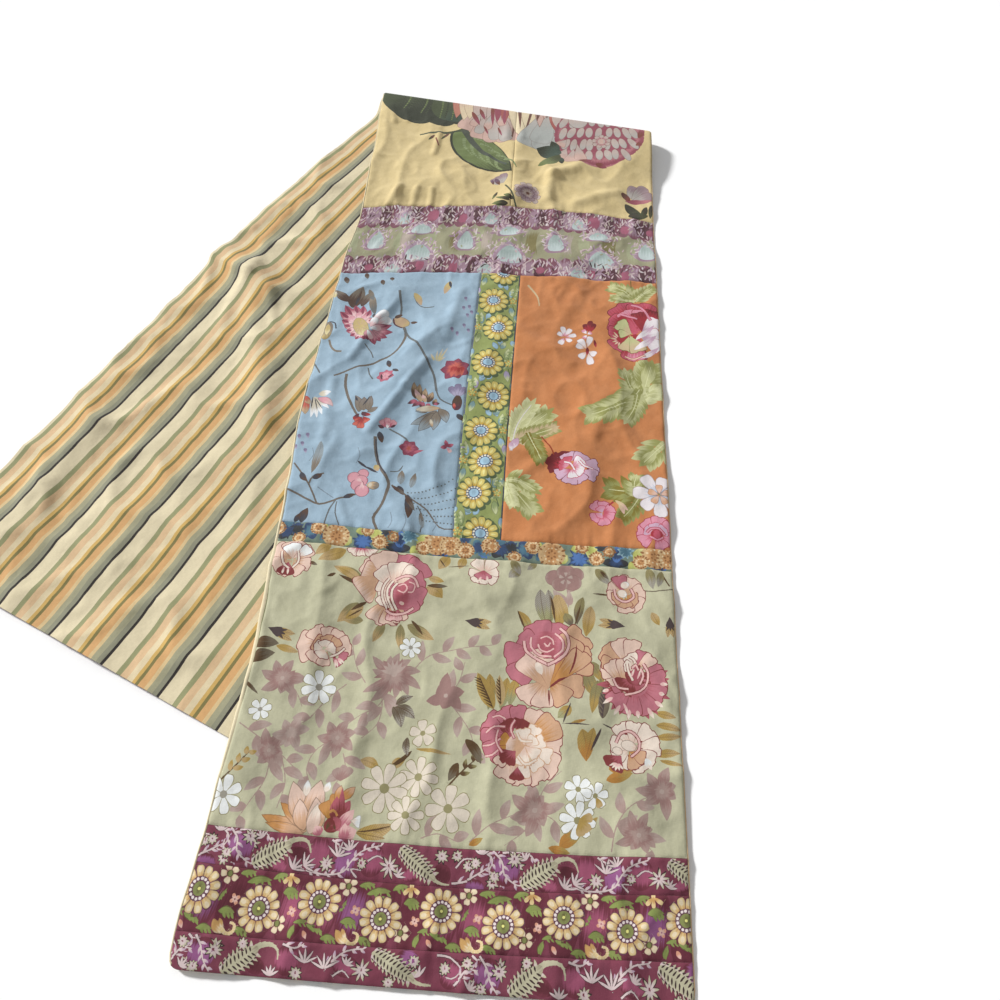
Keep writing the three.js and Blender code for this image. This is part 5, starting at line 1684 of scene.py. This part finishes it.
# each patch: its left and right edges, then for its near and its far copy the seams below and above
# it and the size of its grid
cuts = (("paisley_edge", 0, 356, (0, "edge", 1.7), ("farDaisy", 1829, 4)),
    ("daisy_band", 0, 356, ("edge", "daisy", 1.7), ("farInner", "farDaisy", 4)),
    ("paisley_inner", 0, 356, ("daisy", "inner", 1.7), ("farRose", "farInner", 4)),
    ("rose_panel", 0, 356, ("inner", "rose", 2.0), ("farTrim", "farRose", 5)),
    ("trim_band", 0, 356, ("rose", "trim", 1.7), ("farGarden", "farTrim", 4)),
    ("blue_panel", 0, stripLeft, ("trim", "garden", 2.0), ("farScroll", "farGarden", 5)),
    ("daisy_strip", stripLeft, stripRight, ("trim", "garden", 1.8), ("farScroll", "farGarden", 4)),
    ("orange_panel", stripRight, 356, ("trim", "garden", 2.0), ("farScroll", "farGarden", 5)),
    ("scroll_band", 0, 356, ("garden", "scroll", 1.8), ("yellow", "farScroll", 5)))
farCuts = sorted(cuts, key=lambda cut: seams[cut[4][0]])
patches = {f"near_{name}": (left, right, *near) for name, left, right, near, _ in cuts}
patches["yellow_left"] = (0, yellowSeam, "scroll", "yellow", 2.1)
patches["yellow_right"] = (yellowSeam, 356, "scroll", "yellow", 2.1)
patches |= {f"far_{name}": (left, right, *far) for name, left, right, _, far in farCuts}


def patchLines(low, high, step):
    start, end = low + cloth["seamGap"] / 2, high - cloth["seamGap"] / 2
    if (low, high) != (seams["scroll"], seams["yellow"]):
        return straight(edged(start, end, step))
    turnStarts, turnEnds = foldLine(-1), foldLine(1)
    first, second, inside = seamLines
    return [*straight([start, start + first, start + second, start + inside]),
        *slanted((start + inside, start + inside), turnStarts, step),
        *slanted(turnStarts, turnEnds, foldStep), *slanted(turnEnds, (end - inside, end - inside), step * 2),
        *straight([end - second, end - first, end])]


def nearCut(places):
    # the far half carries the same prints, turned round
    along = places[..., 1]
    turned = np.where(along > seams["farGarden"], seams["farGarden"] + seams["trim"],
        seams["yellow"] + seams["scroll"])
    return np.stack([places[..., 0], np.where(along > seams["yellow"], turned - along, along)], -1)


# Where a patch lies in the thickness of the cloth, how its turned-in edge dips, and how far it stays
# back from the edges of the cloth, where the lining rolls out
patchLie = {"under": 0.12, "top": 1.0, "dip": 0.72, "dipWide": 0.9, "backLeft": 3.0, "backRight": 1.0,
    "rollReach": 27.0}


def makePatch(name, facts):
    left, right, low, high, step = facts
    low, high = seams.get(low, low), seams.get(high, high)
    start = left + (cloth["seamGap"] / 2 if left else patchLie["backLeft"])
    end = right - (cloth["seamGap"] / 2 if right < cloth["width"] else patchLie["backRight"])

    def rollOut(across, along):
        if left:
            return across
        back = patchLie["backLeft"]
        shift = readTable(liningRoll, along, "along", "shows") - back
        return across + shift * np.clip(1 - (across - back) / patchLie["rollReach"], 0, 1)

    def offsets(across, along):
        edge = np.minimum(np.minimum(across - across.min(1, keepdims=True),
            across.max(1, keepdims=True) - across), np.minimum(along - low, high - along))
        turnedIn = np.exp(-((edge / patchLie["dipWide"]) ** 2))
        return np.full_like(across, patchLie["under"]), patchLie["top"] - patchLie["dip"] * turnedIn

    sheet = Sheet(name.replace("_", "-"), edged(start, end, step), patchLines(low, high, step), offsets,
        rollOut)
    piece, slot = sheet.object, slotOf(name)
    piece.data.materials.append(finishes[slot].owner)
    marks = prints["yellow" if "yellow" in name else name.split("_", 1)[1]].marks
    full = stackMarks(sheet, marks, nearCut, printed[slot][2])
    print(f"{name}: {len(sheet.mesh.polygons)} faces, {len(marks)} marks, {full} full stacks")
    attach(piece, "root")
    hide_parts(name)
    (right - left) * mm
    (high - low) * mm
    "folded" if "yellow" in name else "laid"
    return piece


pieces = {name: makePatch(name, facts) for name, facts in patches.items()}
print("patchwork laid:", len(pieces), "pieces")


# Where the lining lies in the thickness of the cloth, how far its left edge rolls up, and where along
# the runner that roll ends
liningLie = {"under": -1.1, "top": -0.15, "roll": 0.9, "rollEnds": 990, "rollFades": 30}


def makeLining():
    # the grid is coarser where the patchwork hides it
    turnStarts, turnEnds = foldLine(-1), foldLine(1)
    nearEnd, farStart, hidden, seen = 790.0, 1066.0, 6.0, 3.6
    lines = [*straight(hemLines), *straight(steps(4.0, nearEnd, hidden)),
        *slanted((nearEnd, nearEnd), turnStarts, hidden), *slanted(turnStarts, turnEnds, foldStep),
        *slanted(turnEnds, (farStart, farStart), 4.0), *straight(steps(farStart, cloth["length"] - 3.0,
        seen)[1:]), *straight([cloth["length"] - back for back in reversed(hemLines)])]
    across = [*hemLines, 2.6, *steps(4.0, 352.0, seen), 354, 355, 355.6, 356]

    def offsets(u, v):
        shows = readTable(liningRoll, v, "along", "shows")
        roll = np.sqrt(np.clip(1 - ((u - shows / 2) / (shows / 2)) ** 2, 0, 1))
        onNear = 1 - ease((v - liningLie["rollEnds"]) / liningLie["rollFades"])
        return np.full_like(u, liningLie["under"]), liningLie["top"] + roll * onNear * liningLie["roll"]

    sheet = Sheet("striped-lining", across, lines, offsets)
    piece = sheet.object
    piece.data.materials.append(finishes["striped_lining"].owner)
    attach(piece, "root")
    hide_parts("lining")
    slotOf("lining")
    return piece


pieces["lining"] = makeLining()
print("lining laid")


# Stage
studio = {"floor": 0.97, "floorReach": 6, "world": 0.40, "sun": 4.2, "sunAngle": 8, "sunHeight": 29,
    "sunFrom": -62}


def makeStudio():
    bm = bmesh.new()
    bmesh.ops.create_grid(bm, x_segments=1, y_segments=1, size=studio["floorReach"])
    floor = addObject("floor", meshFrom(bm, "floor"))
    paper = clothMaterial("floor", roughness=0.9, sheen=0.0)
    paper.set("Base Color", (studio["floor"],) * 3 + (1,))
    floor.data.materials.append(paper.owner)

    # the world lights the cloth softly, and shows as white behind it
    sky = Finish(bpy.data.worlds.new("studio"), "Background")
    rays = sky.node("LightPath").socket.node.outputs
    direct, glossy, through = (Wire(sky, rays[f"Is {kind} Ray"])
        for kind in ("Camera", "Glossy", "Transmission"))
    seen = (direct + glossy + through).low(1)
    sky.set("Color", (1, 1, 1, 1))
    sky.set("Strength", studio["world"] + seen * (1 - studio["world"]))
    bpy.context.scene.world = sky.owner

    lamp = bpy.data.lights.new("window", "SUN")
    lamp.energy = studio["sun"]
    lamp.angle = math.radians(studio["sunAngle"])
    tilt, toward = math.radians(90 - studio["sunHeight"]), math.radians(studio["sunFrom"])
    addObject("window", lamp).rotation_euler = (tilt, 0, math.pi - toward)


camera = {"eye": (0.2048, -0.5162, 0.634), "down": 58.01, "toLeft": 3.73, "lens": 28.8, "sensor": 36}


def makeCamera():
    data = bpy.data.cameras.new("camera")
    data.lens, data.sensor_width = camera["lens"], camera["sensor"]
    eye = addObject("camera", data)
    down, left = math.radians(camera["down"]), math.radians(camera["toLeft"])
    look = Vector((-math.sin(left) * math.cos(down), math.cos(left) * math.cos(down), -math.sin(down)))
    eye.location = camera["eye"]
    eye.rotation_euler = look.to_track_quat("-Z", "Y").to_euler()
    bpy.context.scene.camera = eye


makeStudio()
makeCamera()
bpy.context.scene.view_settings.view_transform = "Standard"
print("studio and camera ready")
